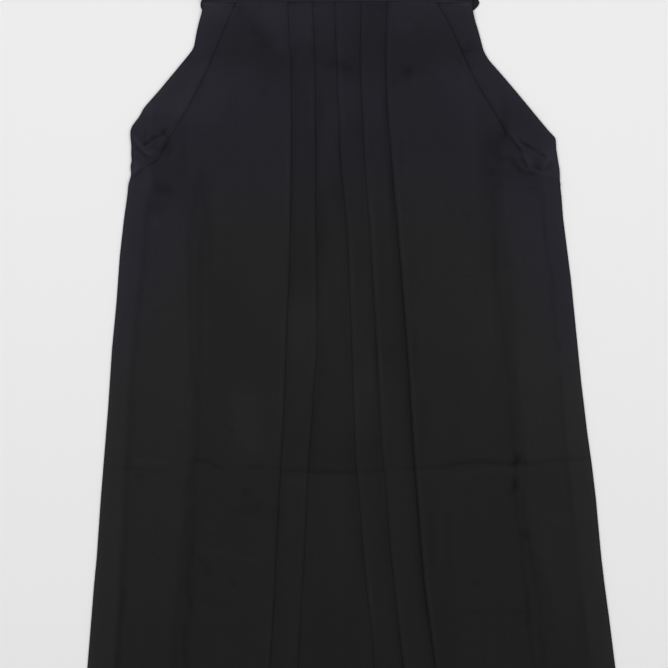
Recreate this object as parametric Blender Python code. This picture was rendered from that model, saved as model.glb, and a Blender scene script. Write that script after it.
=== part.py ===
"""Divided hakama laid flat, front up: pleated front and back panels, gussets, side pleats, band, board, ties.

The garment lies on the plane z = 0 with its waist towards +Y and its hem towards -Y. Sizes below are in
millimetres. "down" is the distance below the waist seam, and x is measured from the middle of the hem.
Left and right are those of someone who looks down on the garment.

Every layer of cloth has a place in one stack. A layer lies on all the layers under it, and where those end it
comes down over their edges in a soft slope, so pleats of any depth lie on each other and never cross.
"""

from collections import namedtuple

import bmesh
import bpy

MM = 0.001

# Cloth and stack
CLOTH = 1.0  # thickness of a wall
AIR = 0.4  # gap between a layer and the next
STEP = CLOTH + AIR
HALF = CLOTH / 2
SLOPE = 50.0  # length over which a layer comes down past the edge of the layers under it
FOLD_ROUND = 0.45  # how far a fold's two edges stand back from its middle
SEAM = 0.3  # gap between pieces that are sewn together

# Whole garment
HEM_DOWN = 900.0  # front length below the waist seam
FRONT_TOP = -22.0  # the front's raw edge, inside the band
BACK_TOP = -28.0
BAND_HEIGHT = 26.0
CROTCH_DOWN = 380.0  # top of the gussets

# Pleats
INNER_TUCK = 40.0  # depth of the three pleats nearest the centre
BACK_TUCK = 60.0
SIDE_PLEAT_LAP = 12.0  # how far a side pleat runs on under the front panel
SIDE_PLEAT_FOOT_INSET = 3.0
BACK_INSET = 2.0  # the back's slit edge stands this far inside the outline
GUSSET_TOP_WIDTH = 65.0  # folded, from the centre back line to the fold
GUSSET_HEM_WIDTH = 110.0

# Back board, a stiffened trapezoid
BOARD_BASE = 240.0
BOARD_TOP = 190.0
BOARD_HEIGHT = 85.0
BOARD_THICKNESS = 4.0
BOARD_EDGE_ROUND = 1.2
BAND_SAMPLES = 26
SHARP_EDGE = 0.7  # radians

# Ties, folded to and fro into flat hanks
FRONT_TIE_WIDTH = 26.0
FRONT_TIE_RUNS = 6
FRONT_TIE_RUN = 250.0
FRONT_TIE_START = 4.0  # above the waist seam, on the end of the band
FRONT_TIE_CLEAR = 2.0  # from the back's top edge to the folds
BACK_TIE_WIDTH = 30.0
BACK_TIE_RUNS = 4
BACK_TIE_LEFT_UP = 4.0  # lower edge of the left back tie, above the board's base
BACK_TIE_RIGHT_UP = 40.0
BACK_TIE_END_GAP = 10.0  # a back tie's folds stay this far inside the board's slanting ends

# Where each edge lies at each station. side_*: outline. edge_*: outer edge of the front panel, which leaves
# the outline above the side opening's foot and shows the side pleat. pleat_a and pleat_b face right, pleat_c
# to pleat_e face left. tuck_a, tuck_e: depth of the two outer pleats.
Station = namedtuple(
    "Station",
    "down side_left edge_left pleat_a pleat_b pleat_c pleat_d pleat_e edge_right side_right tuck_a tuck_e",
)
STATIONS = [
    Station(BACK_TOP, -167, -130, -71, -46, -23, 6, 36, 92, 129.5, 43, 41),
    Station(FRONT_TOP, -167, -130, -71, -46, -23, 6, 36, 92, 129.5, 43, 41),
    Station(0, -167, -130, -71, -46, -23, 6, 36, 92, 129.5, 43, 41),
    Station(27, -173, -143, -70, -45, -22, 7, 36, 109, 135, 55, 57),
    Station(52, -179, -153, -70, -44, -21, 7, 35, 118, 142, 64, 66),
    Station(96, -215, -174, -70, -41, -17, 8, 37, 138, 176, 86, 86),
    Station(140, -246, -197, -70, -42, -16, 10, 39, 166, 212.5, 100, 110),
    Station(152, -246, -204.5, -70, -42, -15, 10.5, 40, 175, 221, 101, 111),
    Station(168, -245.5, -213, -70, -42, -14, 11, 41, 184, 223, 102, 111),
    Station(182, -246.5, -231, -70, -42, -13.5, 11.5, 41.5, 198, 224, 102, 111),
    Station(196, -248, -248, -70, -42, -13, 12, 42, 225.5, 225.5, 102, 111),
    Station(278, -258, -258, -71, -41, -8, 18, 50, 234.5, 234.5, 101, 105),
    Station(330, -262, -262, -75, -41, -4, 22.5, 53, 240.5, 240.5, 100, 107),
    Station(CROTCH_DOWN, -267, -267, -76, -42, -2, 25.5, 57.5, 245.5, 245.5, 98, 107),
    Station(510, -276.5, -276.5, -80, -50, 1, 31.5, 67, 261, 261, 90, 110),
    Station(640, -286.5, -286.5, -87, -56, 13, 43, 77, 275, 275, 93, 112),
    Station(730, -293.5, -293.5, -93, -61, 20.5, 53.5, 88, 287, 287, 96, 109),
    Station(815, -301, -301, -98.5, -65, 28.5, 62, 96.5, 297.5, 297.5, 96.5, 106),
    Station(HEM_DOWN, -308, -308, -104, -68.5, 36.5, 71, 105, 308, 308, 97, 104),
]
LAST = len(STATIONS) - 1
FRONT_FIRST = 1
WAIST = 2
SLIT_FOOT = 10  # station where the front panel reaches the outline again
CROTCH = 13

# The back's edges where they show past the ends of the band: down, left, right.
BackEdge = namedtuple("BackEdge", "down left right")
BACK_EDGES_AT_WAIST = [
    BackEdge(BACK_TOP, -139, 101),
    BackEdge(-3.5, -167.5, 135.5),
    BackEdge(0, -168.5, 137),
    BackEdge(7, -166, 129),
]

# Height of the whole part above and below the waist seam sets where its middle lies.
REACH_UP = -BACK_TOP + FRONT_TIE_RUN
WAIST_Y = (HEM_DOWN - REACH_UP) / 2

CLOTH_COLOUR = (0.016, 0.016, 0.019, 1)
CLOTH_ROUGHNESS = 0.85


def clear_scene():
    for obj in list(bpy.data.objects):
        bpy.data.objects.remove(obj, do_unlink=True)


def cloth_material(name):
    material = bpy.data.materials.new(name)
    material.use_nodes = True
    shader = material.node_tree.nodes["Principled BSDF"]
    shader.inputs["Base Color"].default_value = CLOTH_COLOUR
    shader.inputs["Roughness"].default_value = CLOTH_ROUGHNESS
    shader.inputs["Metallic"].default_value = 0.0
    return material


# The stack -------------------------------------------------------------------------------------------------


def centre_back(station):
    return (station.side_left + station.side_right) / 2


def gusset_width(station):
    share = (station.down - CROTCH_DOWN) / (HEM_DOWN - CROTCH_DOWN)
    return GUSSET_TOP_WIDTH + (GUSSET_HEM_WIDTH - GUSSET_TOP_WIDTH) * share


def gusset_fold_left(station):
    return centre_back(station) - gusset_width(station)


def gusset_fold_right(station):
    return centre_back(station) + gusset_width(station)


def side_pleat_inner(station, edge, outline):
    """Where a side pleat ends under the front panel. Its foot is two laps wide, wholly under the panel."""
    inward = 1 if edge < centre_back(station) else -1
    if edge == outline:
        return outline + inward * 2 * SIDE_PLEAT_LAP
    return edge + inward * SIDE_PLEAT_LAP


def side_pleat_outer(station, edge, outline):
    inward = 1 if edge < centre_back(station) else -1
    return outline + inward * SIDE_PLEAT_FOOT_INSET if edge == outline else outline


# A layer's level counts from the floor up. low and high give its two edges in x at a station, and first and
# last are the stations between which it lies.
Layer = namedtuple("Layer", "level low high first last")
LAYERS = {
    "back_outer": Layer(0, lambda s: s.side_left, lambda s: s.side_right, 0, LAST),
    "back_under_left": Layer(1, lambda s: centre_back(s) - BACK_TUCK, centre_back, 0, LAST),
    "back_under_right": Layer(1, centre_back, lambda s: centre_back(s) + BACK_TUCK, 0, LAST),
    "back_inner_left": Layer(2, lambda s: centre_back(s) - BACK_TUCK, centre_back, 0, LAST),
    "back_inner_right": Layer(2, centre_back, lambda s: centre_back(s) + BACK_TUCK, 0, LAST),
    "gusset_lower_left": Layer(3, gusset_fold_left, centre_back, CROTCH, LAST),
    "gusset_lower_right": Layer(3, centre_back, gusset_fold_right, CROTCH, LAST),
    "gusset_upper_left": Layer(
        4, gusset_fold_left, lambda s: s.pleat_c + INNER_TUCK, CROTCH, LAST
    ),
    "band_inner": Layer(5, lambda s: s.side_left, lambda s: s.side_right, 0, WAIST),
    "side_pleat_left": Layer(
        6,
        lambda s: side_pleat_outer(s, s.edge_left, s.side_left),
        lambda s: side_pleat_inner(s, s.edge_left, s.side_left),
        FRONT_FIRST,
        SLIT_FOOT,
    ),
    "side_pleat_right": Layer(
        6,
        lambda s: side_pleat_inner(s, s.edge_right, s.side_right),
        lambda s: side_pleat_outer(s, s.edge_right, s.side_right),
        FRONT_FIRST,
        SLIT_FOOT,
    ),
    "centre": Layer(
        6, lambda s: s.pleat_b - INNER_TUCK, lambda s: s.pleat_c + INNER_TUCK, FRONT_FIRST, LAST
    ),
    "under_b": Layer(7, lambda s: s.pleat_b - INNER_TUCK, lambda s: s.pleat_b, FRONT_FIRST, LAST),
    "under_c": Layer(7, lambda s: s.pleat_c, lambda s: s.pleat_c + INNER_TUCK, FRONT_FIRST, LAST),
    "gusset_upper_right": Layer(
        7, lambda s: s.pleat_c + INNER_TUCK + SEAM, gusset_fold_right, CROTCH, LAST
    ),
    "leaf_ab": Layer(8, lambda s: s.pleat_a - s.tuck_a, lambda s: s.pleat_b, FRONT_FIRST, LAST),
    "leaf_cd": Layer(8, lambda s: s.pleat_c, lambda s: s.pleat_d + INNER_TUCK, FRONT_FIRST, LAST),
    "under_a": Layer(9, lambda s: s.pleat_a - s.tuck_a, lambda s: s.pleat_a, FRONT_FIRST, LAST),
    "under_d": Layer(9, lambda s: s.pleat_d, lambda s: s.pleat_d + INNER_TUCK, FRONT_FIRST, LAST),
    "main_left": Layer(10, lambda s: s.edge_left, lambda s: s.pleat_a, FRONT_FIRST, LAST),
    "leaf_de": Layer(10, lambda s: s.pleat_d, lambda s: s.pleat_e + s.tuck_e, FRONT_FIRST, LAST),
    "under_e": Layer(11, lambda s: s.pleat_e, lambda s: s.pleat_e + s.tuck_e, FRONT_FIRST, LAST),
    "main_right": Layer(12, lambda s: s.pleat_e, lambda s: s.edge_right, FRONT_FIRST, LAST),
    "band_outer": Layer(13, lambda s: s.side_left, lambda s: s.side_right, 0, WAIST),
}
TOP_LEVEL = 14


def presence(layer, index, x):
    """1 where the layer lies at this station, falling softly to 0 over the slope's length outside it."""
    if not layer.first <= index <= layer.last:
        return 0.0
    station = STATIONS[index]
    outside = max(layer.low(station) - x, x - layer.high(station), 0.0) / SLOPE
    if outside >= 1:
        return 0.0
    return 1 - outside * outside * (3 - 2 * outside)


def height(level, index, x):
    """Middle height of a layer of this level: it lies on every lower level that is there."""
    levels_under = [0.0] * level
    for layer in LAYERS.values():
        if layer.level < level:
            here = presence(layer, index, x)
            levels_under[layer.level] = max(levels_under[layer.level], here)
    return HALF + STEP * sum(levels_under)


# Walls -----------------------------------------------------------------------------------------------------


def fold_pairs(x, z_from, z_to, heading):
    """The turn of a wall at a fold, as pairs of points on its two sides."""
    rise = 1 if z_to > z_from else -1
    middle = (z_from + z_to) / 2
    inner_x = x - heading * CLOTH
    round_x = x - heading * FOLD_ROUND
    outer = [(round_x, z_from - rise * HALF), (x, middle), (round_x, z_to + rise * HALF)]
    inner = [(inner_x, z_from + rise * HALF), (inner_x, middle), (inner_x, z_to - rise * HALF)]
    return list(zip(outer, inner)) if heading == -rise else list(zip(inner, outer))


def serpentine_pairs(runs):
    """A wall's section from its runs, each a list of (x, z) along its middle: they join in folds."""
    pairs = []
    for number, run in enumerate(runs):
        heading = 1 if run[-1][0] > run[0][0] else -1
        last_run = number == len(runs) - 1
        start = 0 if number == 0 else 1
        stop = len(run) if last_run else len(run) - 1
        for x, z in run[start:stop]:
            pairs.append(((x, z + heading * HALF), (x, z - heading * HALF)))
        if not last_run:
            x, z = run[-1]
            pairs += fold_pairs(x, z, runs[number + 1][0][1], heading)
    return pairs


def add_object(name, mesh, material):
    """Turns a bmesh into a smooth-shaded object of this name."""
    bmesh.ops.recalc_face_normals(mesh, faces=mesh.faces)
    data = bpy.data.meshes.new(name)
    mesh.to_mesh(data)
    mesh.free()
    data.shade_smooth()
    data.set_sharp_from_angle(angle=SHARP_EDGE)
    data.materials.append(material)
    bpy.context.scene.collection.objects.link(bpy.data.objects.new(name, data))


def closed_wall(name, sections, material):
    """One closed body through sections of equal length, each a list of pairs of 3D points in millimetres."""
    mesh = bmesh.new()
    rings = []
    for section in sections:
        sides = [[mesh.verts.new([c * MM for c in pair[side]]) for pair in section] for side in (0, 1)]
        rings.append(sides[0] + sides[1][::-1])
    count = len(rings[0])
    for ring, following in zip(rings, rings[1:]):
        for k in range(count):
            after = (k + 1) % count
            mesh.faces.new((ring[k], ring[after], following[after], following[k]))
    for ring in (rings[0], rings[-1]):
        for k in range(count // 2 - 1):
            mesh.faces.new((ring[k], ring[k + 1], ring[count - 2 - k], ring[count - 1 - k]))
    add_object(name, mesh, material)


def layer_run(name, index, samples, heading):
    """A layer's middle line at a station, from left to right or from right to left."""
    layer = LAYERS[name]
    station = STATIONS[index]
    low, high = layer.low(station), layer.high(station)
    start, end = (low, high) if heading > 0 else (high, low)
    points = []
    for k in range(samples + 1):
        x = start + (end - start) * k / samples
        points.append((x, height(layer.level, index, x)))
    return points


def pleated_panel(name, route, first, last, material):
    """A panel that runs through several layers of the stack; route is a list of (layer, samples, heading)."""
    sections = []
    for index in range(first, last + 1):
        y = WAIST_Y - STATIONS[index].down
        runs = [layer_run(layer, index, samples, heading) for layer, samples, heading in route]
        pairs = serpentine_pairs(runs)
        sections.append([[(x, y, z) for x, z in pair] for pair in pairs])
    return closed_wall(name, sections, material)


# Panels ----------------------------------------------------------------------------------------------------


def front_panels(material):
    """Left front with two pleats and the centre leaf, right front with three pleats; they are sewn under the
    third pleat."""
    left = [
        ("main_left", 14, 1),
        ("under_a", 8, -1),
        ("leaf_ab", 11, 1),
        ("under_b", 3, -1),
        ("centre", 12, 1),
    ]
    right = [
        ("main_right", 14, -1),
        ("under_e", 8, 1),
        ("leaf_de", 12, -1),
        ("under_d", 3, 1),
        ("leaf_cd", 7, -1),
        ("under_c", 3, 1),
    ]
    pleated_panel("front_left", left, FRONT_FIRST, LAST, material)
    pleated_panel("front_right", right, FRONT_FIRST, LAST, material)


def side_pleats(material):
    """The leaf-shaped pleat down each side opening, under the slanting edge of the front panel."""
    for side in ("left", "right"):
        name = "side_pleat_" + side
        pleated_panel(name, [(name, 4, 1)], FRONT_FIRST, SLIT_FOOT, material)


def gussets(material):
    """Inner leg of each trouser leg: folded flat between the front and the back."""
    left = [("gusset_lower_left", 8, -1), ("gusset_upper_left", 13, 1)]
    right = [("gusset_lower_right", 8, 1), ("gusset_upper_right", 6, -1)]
    pleated_panel("gusset_left", left, CROTCH, LAST, material)
    pleated_panel("gusset_right", right, CROTCH, LAST, material)


def back_panels(material):
    """Two flat panels whose pleats meet at the centre back, each with its folded edge on the floor."""
    at_waist = [(edge.down, edge.left, edge.right) for edge in BACK_EDGES_AT_WAIST]
    below = [
        (s.down, s.side_left + BACK_INSET, s.side_right - BACK_INSET)
        for s in STATIONS
        if s.down > BACK_EDGES_AT_WAIST[-1].down
    ]
    waist_centre = centre_back(STATIONS[WAIST])
    hem_centre = centre_back(STATIONS[LAST])
    for name, heading in (("back_left", 1), ("back_right", -1)):
        sections = []
        for down, left_edge, right_edge in at_waist + below:
            centre = waist_centre + (hem_centre - waist_centre) * max(down, 0) / HEM_DOWN
            fold = centre - heading * SEAM / 2
            tuck = fold - heading * BACK_TUCK
            outer_edge = left_edge if heading > 0 else right_edge
            levels = [HALF + STEP * level for level in range(3)]
            runs = [
                [(outer_edge, levels[0]), (fold - heading * 2 * CLOTH, levels[0]), (fold, levels[0])],
                [(fold, levels[1]), (tuck, levels[1])],
                [(tuck, levels[2]), (fold, levels[2])],
            ]
            y = WAIST_Y - down
            sections.append([[(x, y, z) for x, z in pair] for pair in serpentine_pairs(runs)])
        closed_wall(name, sections, material)


# Waist -----------------------------------------------------------------------------------------------------


def front_band(material):
    """A strip folded over the top of the pleated front, from one side opening to the other."""
    station = STATIONS[WAIST]
    top = -BAND_HEIGHT
    sections = []
    for k in range(BAND_SAMPLES + 1):
        x = station.side_left + (station.side_right - station.side_left) * k / BAND_SAMPLES
        z_front = height(LAYERS["band_outer"].level, WAIST, x)
        z_behind = height(LAYERS["band_inner"].level, WAIST, x)
        # Runs are worked out along "down", so the turn faces up the garment.
        runs = [[(0.0, z_front), (top, z_front)], [(top, z_behind), (0.0, z_behind)]]
        pairs = serpentine_pairs(runs)
        sections.append([[(x, WAIST_Y - down, z) for down, z in pair] for pair in pairs])
    closed_wall("front_band", sections, material)


def back_board(material):
    """The stiff trapezoid at the back waist, sewn to the top edge of the back panels."""
    centre = centre_back(STATIONS[WAIST])
    base_y = WAIST_Y - BACK_TOP + SEAM
    outline = [
        (centre - BOARD_BASE / 2, base_y),
        (centre + BOARD_BASE / 2, base_y),
        (centre + BOARD_TOP / 2, base_y + BOARD_HEIGHT),
        (centre - BOARD_TOP / 2, base_y + BOARD_HEIGHT),
    ]
    mesh = bmesh.new()
    corners = [mesh.verts.new((x * MM, y * MM, 0.0)) for x, y in outline]
    face = mesh.faces.new(corners)
    raised = bmesh.ops.extrude_face_region(mesh, geom=[face])["geom"]
    for element in raised:
        if isinstance(element, bmesh.types.BMVert):
            element.co.z = BOARD_THICKNESS * MM
    top_edges = [
        edge for edge in mesh.edges if all(vert.co.z > BOARD_THICKNESS * MM / 2 for vert in edge.verts)
    ]
    bmesh.ops.bevel(
        mesh, geom=top_edges, offset=BOARD_EDGE_ROUND * MM, segments=3, profile=0.5, affect="EDGES"
    )
    add_object("back_board", mesh, material)


def hank(name, heights, start, turns, across, place, material):
    """A tie folded to and fro: its runs lie at the given heights between the two turns, and the first begins
    at start. across holds its two long edges, and place puts (along, across, z) in the garment's frame."""
    runs = []
    for number, z in enumerate(heights):
        begin = start if number == 0 else turns[(number + 1) % 2]
        end = turns[number % 2]
        runs.append([(begin, z), (end, z)])
    pairs = serpentine_pairs(runs)
    sections = [[[place(along, edge, z) for along, z in pair] for pair in pairs] for edge in across]
    closed_wall(name, sections, material)


def front_ties(material):
    """Each begins on the end of the band, runs up past the board and is folded under itself to the floor."""
    station = STATIONS[WAIST]
    near = -BACK_TOP + FRONT_TIE_CLEAR
    far = REACH_UP
    sides = (
        ("front_tie_left", station.side_left, station.side_left + FRONT_TIE_WIDTH),
        ("front_tie_right", station.side_right - FRONT_TIE_WIDTH, station.side_right),
    )
    for name, low, high in sides:
        highest = max(height(TOP_LEVEL, WAIST, x) for x in (low, (low + high) / 2, high))
        spacing = (highest - HALF) / (FRONT_TIE_RUNS - 1)
        heights = [highest - spacing * number for number in range(FRONT_TIE_RUNS)]
        hank(
            name,
            heights,
            start=FRONT_TIE_START,
            turns=(far, near),
            across=(low, high),
            place=lambda along, edge, z: (edge, WAIST_Y + along, z),
            material=material,
        )


def back_ties(material):
    """Each begins at one end of the board and lies folded across it."""
    centre = centre_back(STATIONS[WAIST])
    slant = (BOARD_BASE - BOARD_TOP) / 2 / BOARD_HEIGHT
    ties = (("back_tie_left", -1, BACK_TIE_LEFT_UP), ("back_tie_right", 1, BACK_TIE_RIGHT_UP))
    for name, side, up in ties:
        half_width = BOARD_BASE / 2 - slant * (up + BACK_TIE_WIDTH) - BACK_TIE_END_GAP
        lowest = BOARD_THICKNESS + SEAM + HALF
        near = centre + side * half_width
        far = centre - side * half_width
        y_low = WAIST_Y - BACK_TOP + SEAM + up
        hank(
            name,
            [lowest + STEP * number for number in range(BACK_TIE_RUNS)],
            start=near,
            turns=(far, near),
            across=(y_low, y_low + BACK_TIE_WIDTH),
            place=lambda along, edge, z: (along, edge, z),
            material=material,
        )


def main():
    clear_scene()
    material = cloth_material("black_cloth")
    back_panels(material)
    gussets(material)
    side_pleats(material)
    front_panels(material)
    front_band(material)
    back_board(material)
    front_ties(material)
    back_ties(material)


main()
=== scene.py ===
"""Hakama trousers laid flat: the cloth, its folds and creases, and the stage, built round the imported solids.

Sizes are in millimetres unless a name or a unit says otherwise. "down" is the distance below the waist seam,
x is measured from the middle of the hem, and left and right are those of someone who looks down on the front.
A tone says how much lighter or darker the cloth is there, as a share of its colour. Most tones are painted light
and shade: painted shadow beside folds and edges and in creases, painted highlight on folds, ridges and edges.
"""

import math
from collections import namedtuple

import bpy
import numpy as np
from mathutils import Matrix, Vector


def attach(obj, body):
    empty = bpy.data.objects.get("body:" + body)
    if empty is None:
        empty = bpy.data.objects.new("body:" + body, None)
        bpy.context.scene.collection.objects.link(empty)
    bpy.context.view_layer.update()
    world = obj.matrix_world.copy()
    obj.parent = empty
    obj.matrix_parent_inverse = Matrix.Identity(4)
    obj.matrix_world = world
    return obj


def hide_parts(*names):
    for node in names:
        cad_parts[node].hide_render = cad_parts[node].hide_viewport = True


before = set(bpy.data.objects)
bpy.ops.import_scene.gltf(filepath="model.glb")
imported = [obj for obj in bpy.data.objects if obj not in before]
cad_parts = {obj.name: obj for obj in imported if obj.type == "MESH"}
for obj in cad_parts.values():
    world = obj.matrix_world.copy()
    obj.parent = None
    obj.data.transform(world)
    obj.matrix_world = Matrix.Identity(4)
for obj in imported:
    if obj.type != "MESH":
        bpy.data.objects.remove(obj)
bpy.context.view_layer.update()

bl_info = {
    "name": "Hakama laid flat",
    "version": (1, 0, 0),
    "blender": (4, 5, 0),
    "location": "3D View > Sidebar > Hakama",
    "description": "Builds the cloth of a pleated hakama, its ties and a studio stage",
    "category": "Object",
}

MM = 0.001
BODY = "root"
MATERIAL = "black_cloth_woven"

# Sizes that the solids have too -------------------------------------------------------------------------------

HALF = 0.5  # half the thickness of a solid wall
STEP = 1.4  # from one layer of the stack to the next
SLOPE = 50.0  # length over which a layer comes down past the edge of those under it
HEM_DOWN = 900.0
FRONT_TOP = -22.0
BACK_TOP = -28.0
BAND_HEIGHT = 26.0
CROTCH_DOWN = 380.0
FOOT_DOWN = 196.0  # foot of the side openings
INNER_TUCK = 40.0
BACK_TUCK = 60.0
SIDE_PLEAT_LAP = 12.0
SIDE_PLEAT_FOOT_INSET = 0.4
BACK_INSET = 2.0
GUSSET_TOP_WIDTH = 65.0
GUSSET_HEM_WIDTH = 110.0
BOARD_BASE = 240.0
BOARD_TOP = 190.0
BOARD_HEIGHT = 85.0
BOARD_THICKNESS = 4.0
SEAM = 0.3
FRONT_TIE_WIDTH = 26.0
FRONT_TIE_RUNS = 6
FRONT_TIE_RUN = 250.0
FRONT_TIE_START = 4.0
FRONT_TIE_CLEAR = 2.0
BACK_TIE_WIDTH = 30.0
BACK_TIE_RUNS = 4
BACK_TIE_UP = {"left": 4.0, "right": 40.0}
BACK_TIE_END_GAP = 10.0
REACH_UP = -BACK_TOP + FRONT_TIE_RUN
WAIST_Y = (HEM_DOWN - REACH_UP) / 2

# Lines of the garment, as (down, x) --------------------------------------------------------------------------

OUTLINE_LEFT = [
    (-28, -167), (0, -167), (8, -167), (13, -168.4), (19, -170.2), (30, -172.9), (49, -176.4), (55, -180.2),
    (63, -186.8), (96, -214.2), (114, -230.1), (118, -232.9), (123, -235.1), (126, -237.1), (136, -244.8),
    (141, -246.3), (146, -246.2), (158, -245.1), (168, -245.5), (173, -244.8), (179.5, -246.4), (187, -245.8),
    (190, -245.9), (196, -247.8), (204, -248.9), (212, -249.7), (236, -253.1), (278, -257.9), (330, -261.6),
    (380, -266.4), (446, -270.8), (545, -278.8), (610, -283.3), (640, -286.2), (730, -293.5), (815, -301),
    (900, -308),
]  # fmt: skip
OUTLINE_RIGHT = [
    (-28, 129.5), (0, 129.5), (8, 130.3), (19, 132.7), (30, 136.2), (52, 141.9), (55, 143.2), (63, 147.9),
    (74, 157.8), (96, 176.7), (140, 213), (148, 220.8), (150, 221.5), (160, 222.1), (166, 222.9), (184, 226.2),
    (204, 226.8), (212, 227.8), (236, 229.6), (304, 238.3), (416, 249.5), (474, 256.4), (510, 261.6), (545, 265.7),
    (610, 271.7), (640, 275.3), (675, 280.1), (730, 287), (815, 297.5), (900, 308),
]  # fmt: skip
EDGE_LEFT = [
    (-28, -130), (0, -130), (12, -135.5), (30, -142.8), (48, -150.6), (66, -157.9), (84, -166.3), (102, -175.7),
    (120, -185.6), (131, -191.8), (141, -198), (149, -203.6), (156, -207.6), (162, -210.3), (168, -212.8),
    (172, -215.8), (175, -219.8), (178, -225), (182, -231.5), (186, -237.8), (190, -243), (196, -247.9),
]  # fmt: skip
EDGE_RIGHT = [
    (-28, 91), (0, 91), (12, 97.8), (30, 107), (48, 115.4), (66, 123.2), (84, 132.4), (102, 142.4), (120, 153.3),
    (130, 159), (137, 163.4), (144, 168), (150, 173), (156, 177.6), (161, 181.5), (167, 184.6), (174, 187.6),
    (180, 191.5), (185, 198), (189, 207), (192, 217.4), (194, 225.3), (196, 226.5),
]  # fmt: skip
PLEAT_LINES = {  # folds A to E of the front, from left to right
    "pleat_a": [
        (-28, -73), (0, -73), (39, -71.6), (63, -70.2), (87, -69.5), (135, -69.2), (207, -69.8), (255, -70.7),
        (303, -72.1), (351, -74), (399, -75.6), (447, -77.4), (495, -80), (543, -82.8), (591, -85.3), (639, -87.2),
        (687, -89.9), (730, -92.8), (815, -98.5), (900, -104),
    ],
    "pleat_b": [
        (-28, -46), (0, -46), (39, -44.6), (87, -42.5), (135, -42.9), (207, -42.8), (255, -42.1), (303, -41.1),
        (351, -41), (383, -41.1), (423, -44.5), (471, -47.4), (495, -49.4), (543, -51.9), (591, -54.2), (639, -56.6),
        (687, -59.1), (730, -61.6), (815, -65), (900, -68.5),
    ],
    "pleat_c": [
        (-28, -21.3), (0, -21.3), (39, -20), (87, -19), (111, -17.4), (135, -16.2), (159, -15.4), (183, -14),
        (207, -11.8), (231, -9.5), (255, -7.8), (279, -6.7), (327, -4.8), (375, -2.8), (423, -1.3), (471, 0.2),
        (500, 1.2), (519, 3.2), (543, 5.4), (591, 8.8), (639, 13.2), (687, 18.3), (730, 22.3), (815, 29.5),
        (900, 36.5),
    ],
    "pleat_d": [
        (-28, 7.4), (0, 7.4), (39, 6.9), (63, 6.5), (111, 8.5), (159, 10.7), (207, 13.5), (255, 17), (303, 20),
        (351, 22.9), (399, 25.3), (447, 27.8), (480, 29.4), (519, 33), (567, 36.9), (615, 41.2), (663, 46),
        (711, 52), (730, 54.2), (815, 62.5), (900, 71),
    ],
    "pleat_e": [
        (-28, 36), (0, 36), (39, 34.7), (63, 34.2), (87, 34.8), (135, 37.4), (159, 39.6), (207, 43.7), (255, 47.9),
        (303, 52.1), (351, 55.8), (399, 59.1), (447, 62.1), (495, 65.1), (543, 68.9), (591, 72.4), (639, 76.8),
        (687, 83), (730, 88.4), (815, 96.7), (900, 105),
    ],
}  # fmt: skip
TUCKS = {  # how far the two outer pleats reach under
    "tuck_a": [
        (-28, 43), (0, 43), (27, 55), (52, 64), (96, 86), (140, 100), (196, 102), (278, 101), (380, 98), (510, 90),
        (640, 93), (815, 96.5), (900, 97),
    ],
    "tuck_e": [
        (-28, 41), (0, 41), (27, 57), (52, 66), (96, 86), (140, 110), (196, 111), (278, 105), (380, 107), (510, 110),
        (640, 112), (815, 106), (900, 104),
    ],
}  # fmt: skip
# The back's edges beside the band, where it shows past the band's ends.
BACK_EDGES = {
    "left": [
        (-28, -139), (-16, -150), (-3.5, -167.6), (0, -169), (2.5, -169.2), (5, -168.8), (7, -167.8), (9.5, -165.5),
    ],
    "right": [
        (-28, 101), (-16, 118), (-3.5, 136.2), (-0.5, 137.7), (1.5, 137.3), (4, 135.6), (6, 133.7), (9.5, 129.5),
    ],
}  # fmt: skip


def monotone(knots, at):
    """Smooth line through (down, value) knots that doesn't swing past any of them."""
    downs, values = np.array(knots, float).T
    gaps = np.diff(downs)
    slopes = np.diff(values) / gaps
    tangents = np.zeros_like(values)
    before, after = slopes[:-1], slopes[1:]
    turning = before * after <= 0
    heavy, light = 2 * gaps[1:] + gaps[:-1], gaps[1:] + 2 * gaps[:-1]
    safe_before, safe_after = np.where(turning, 1, before), np.where(turning, 1, after)
    tangents[1:-1] = np.where(turning, 0, (heavy + light) / (heavy / safe_before + light / safe_after))
    tangents[0], tangents[-1] = slopes[0], slopes[-1]
    i = np.clip(np.searchsorted(downs, at, side="right") - 1, 0, len(downs) - 2)
    t = np.clip((at - downs[i]) / gaps[i], 0, 1)
    swing = gaps[i] * t * (1 - t) * (tangents[i] * (1 - t) - tangents[i + 1] * t)
    return values[i] + (values[i + 1] - values[i]) * smooth(t) + swing


def between(knots, at):
    """Straight runs between (down, value) knots."""
    return np.interp(at, *np.array(knots, float).T)


def smooth(t):
    t = np.clip(t, 0, 1)
    return t * t * (3 - 2 * t)


def bell(distance, width):
    return np.exp(-((distance / width) ** 2))


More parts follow.
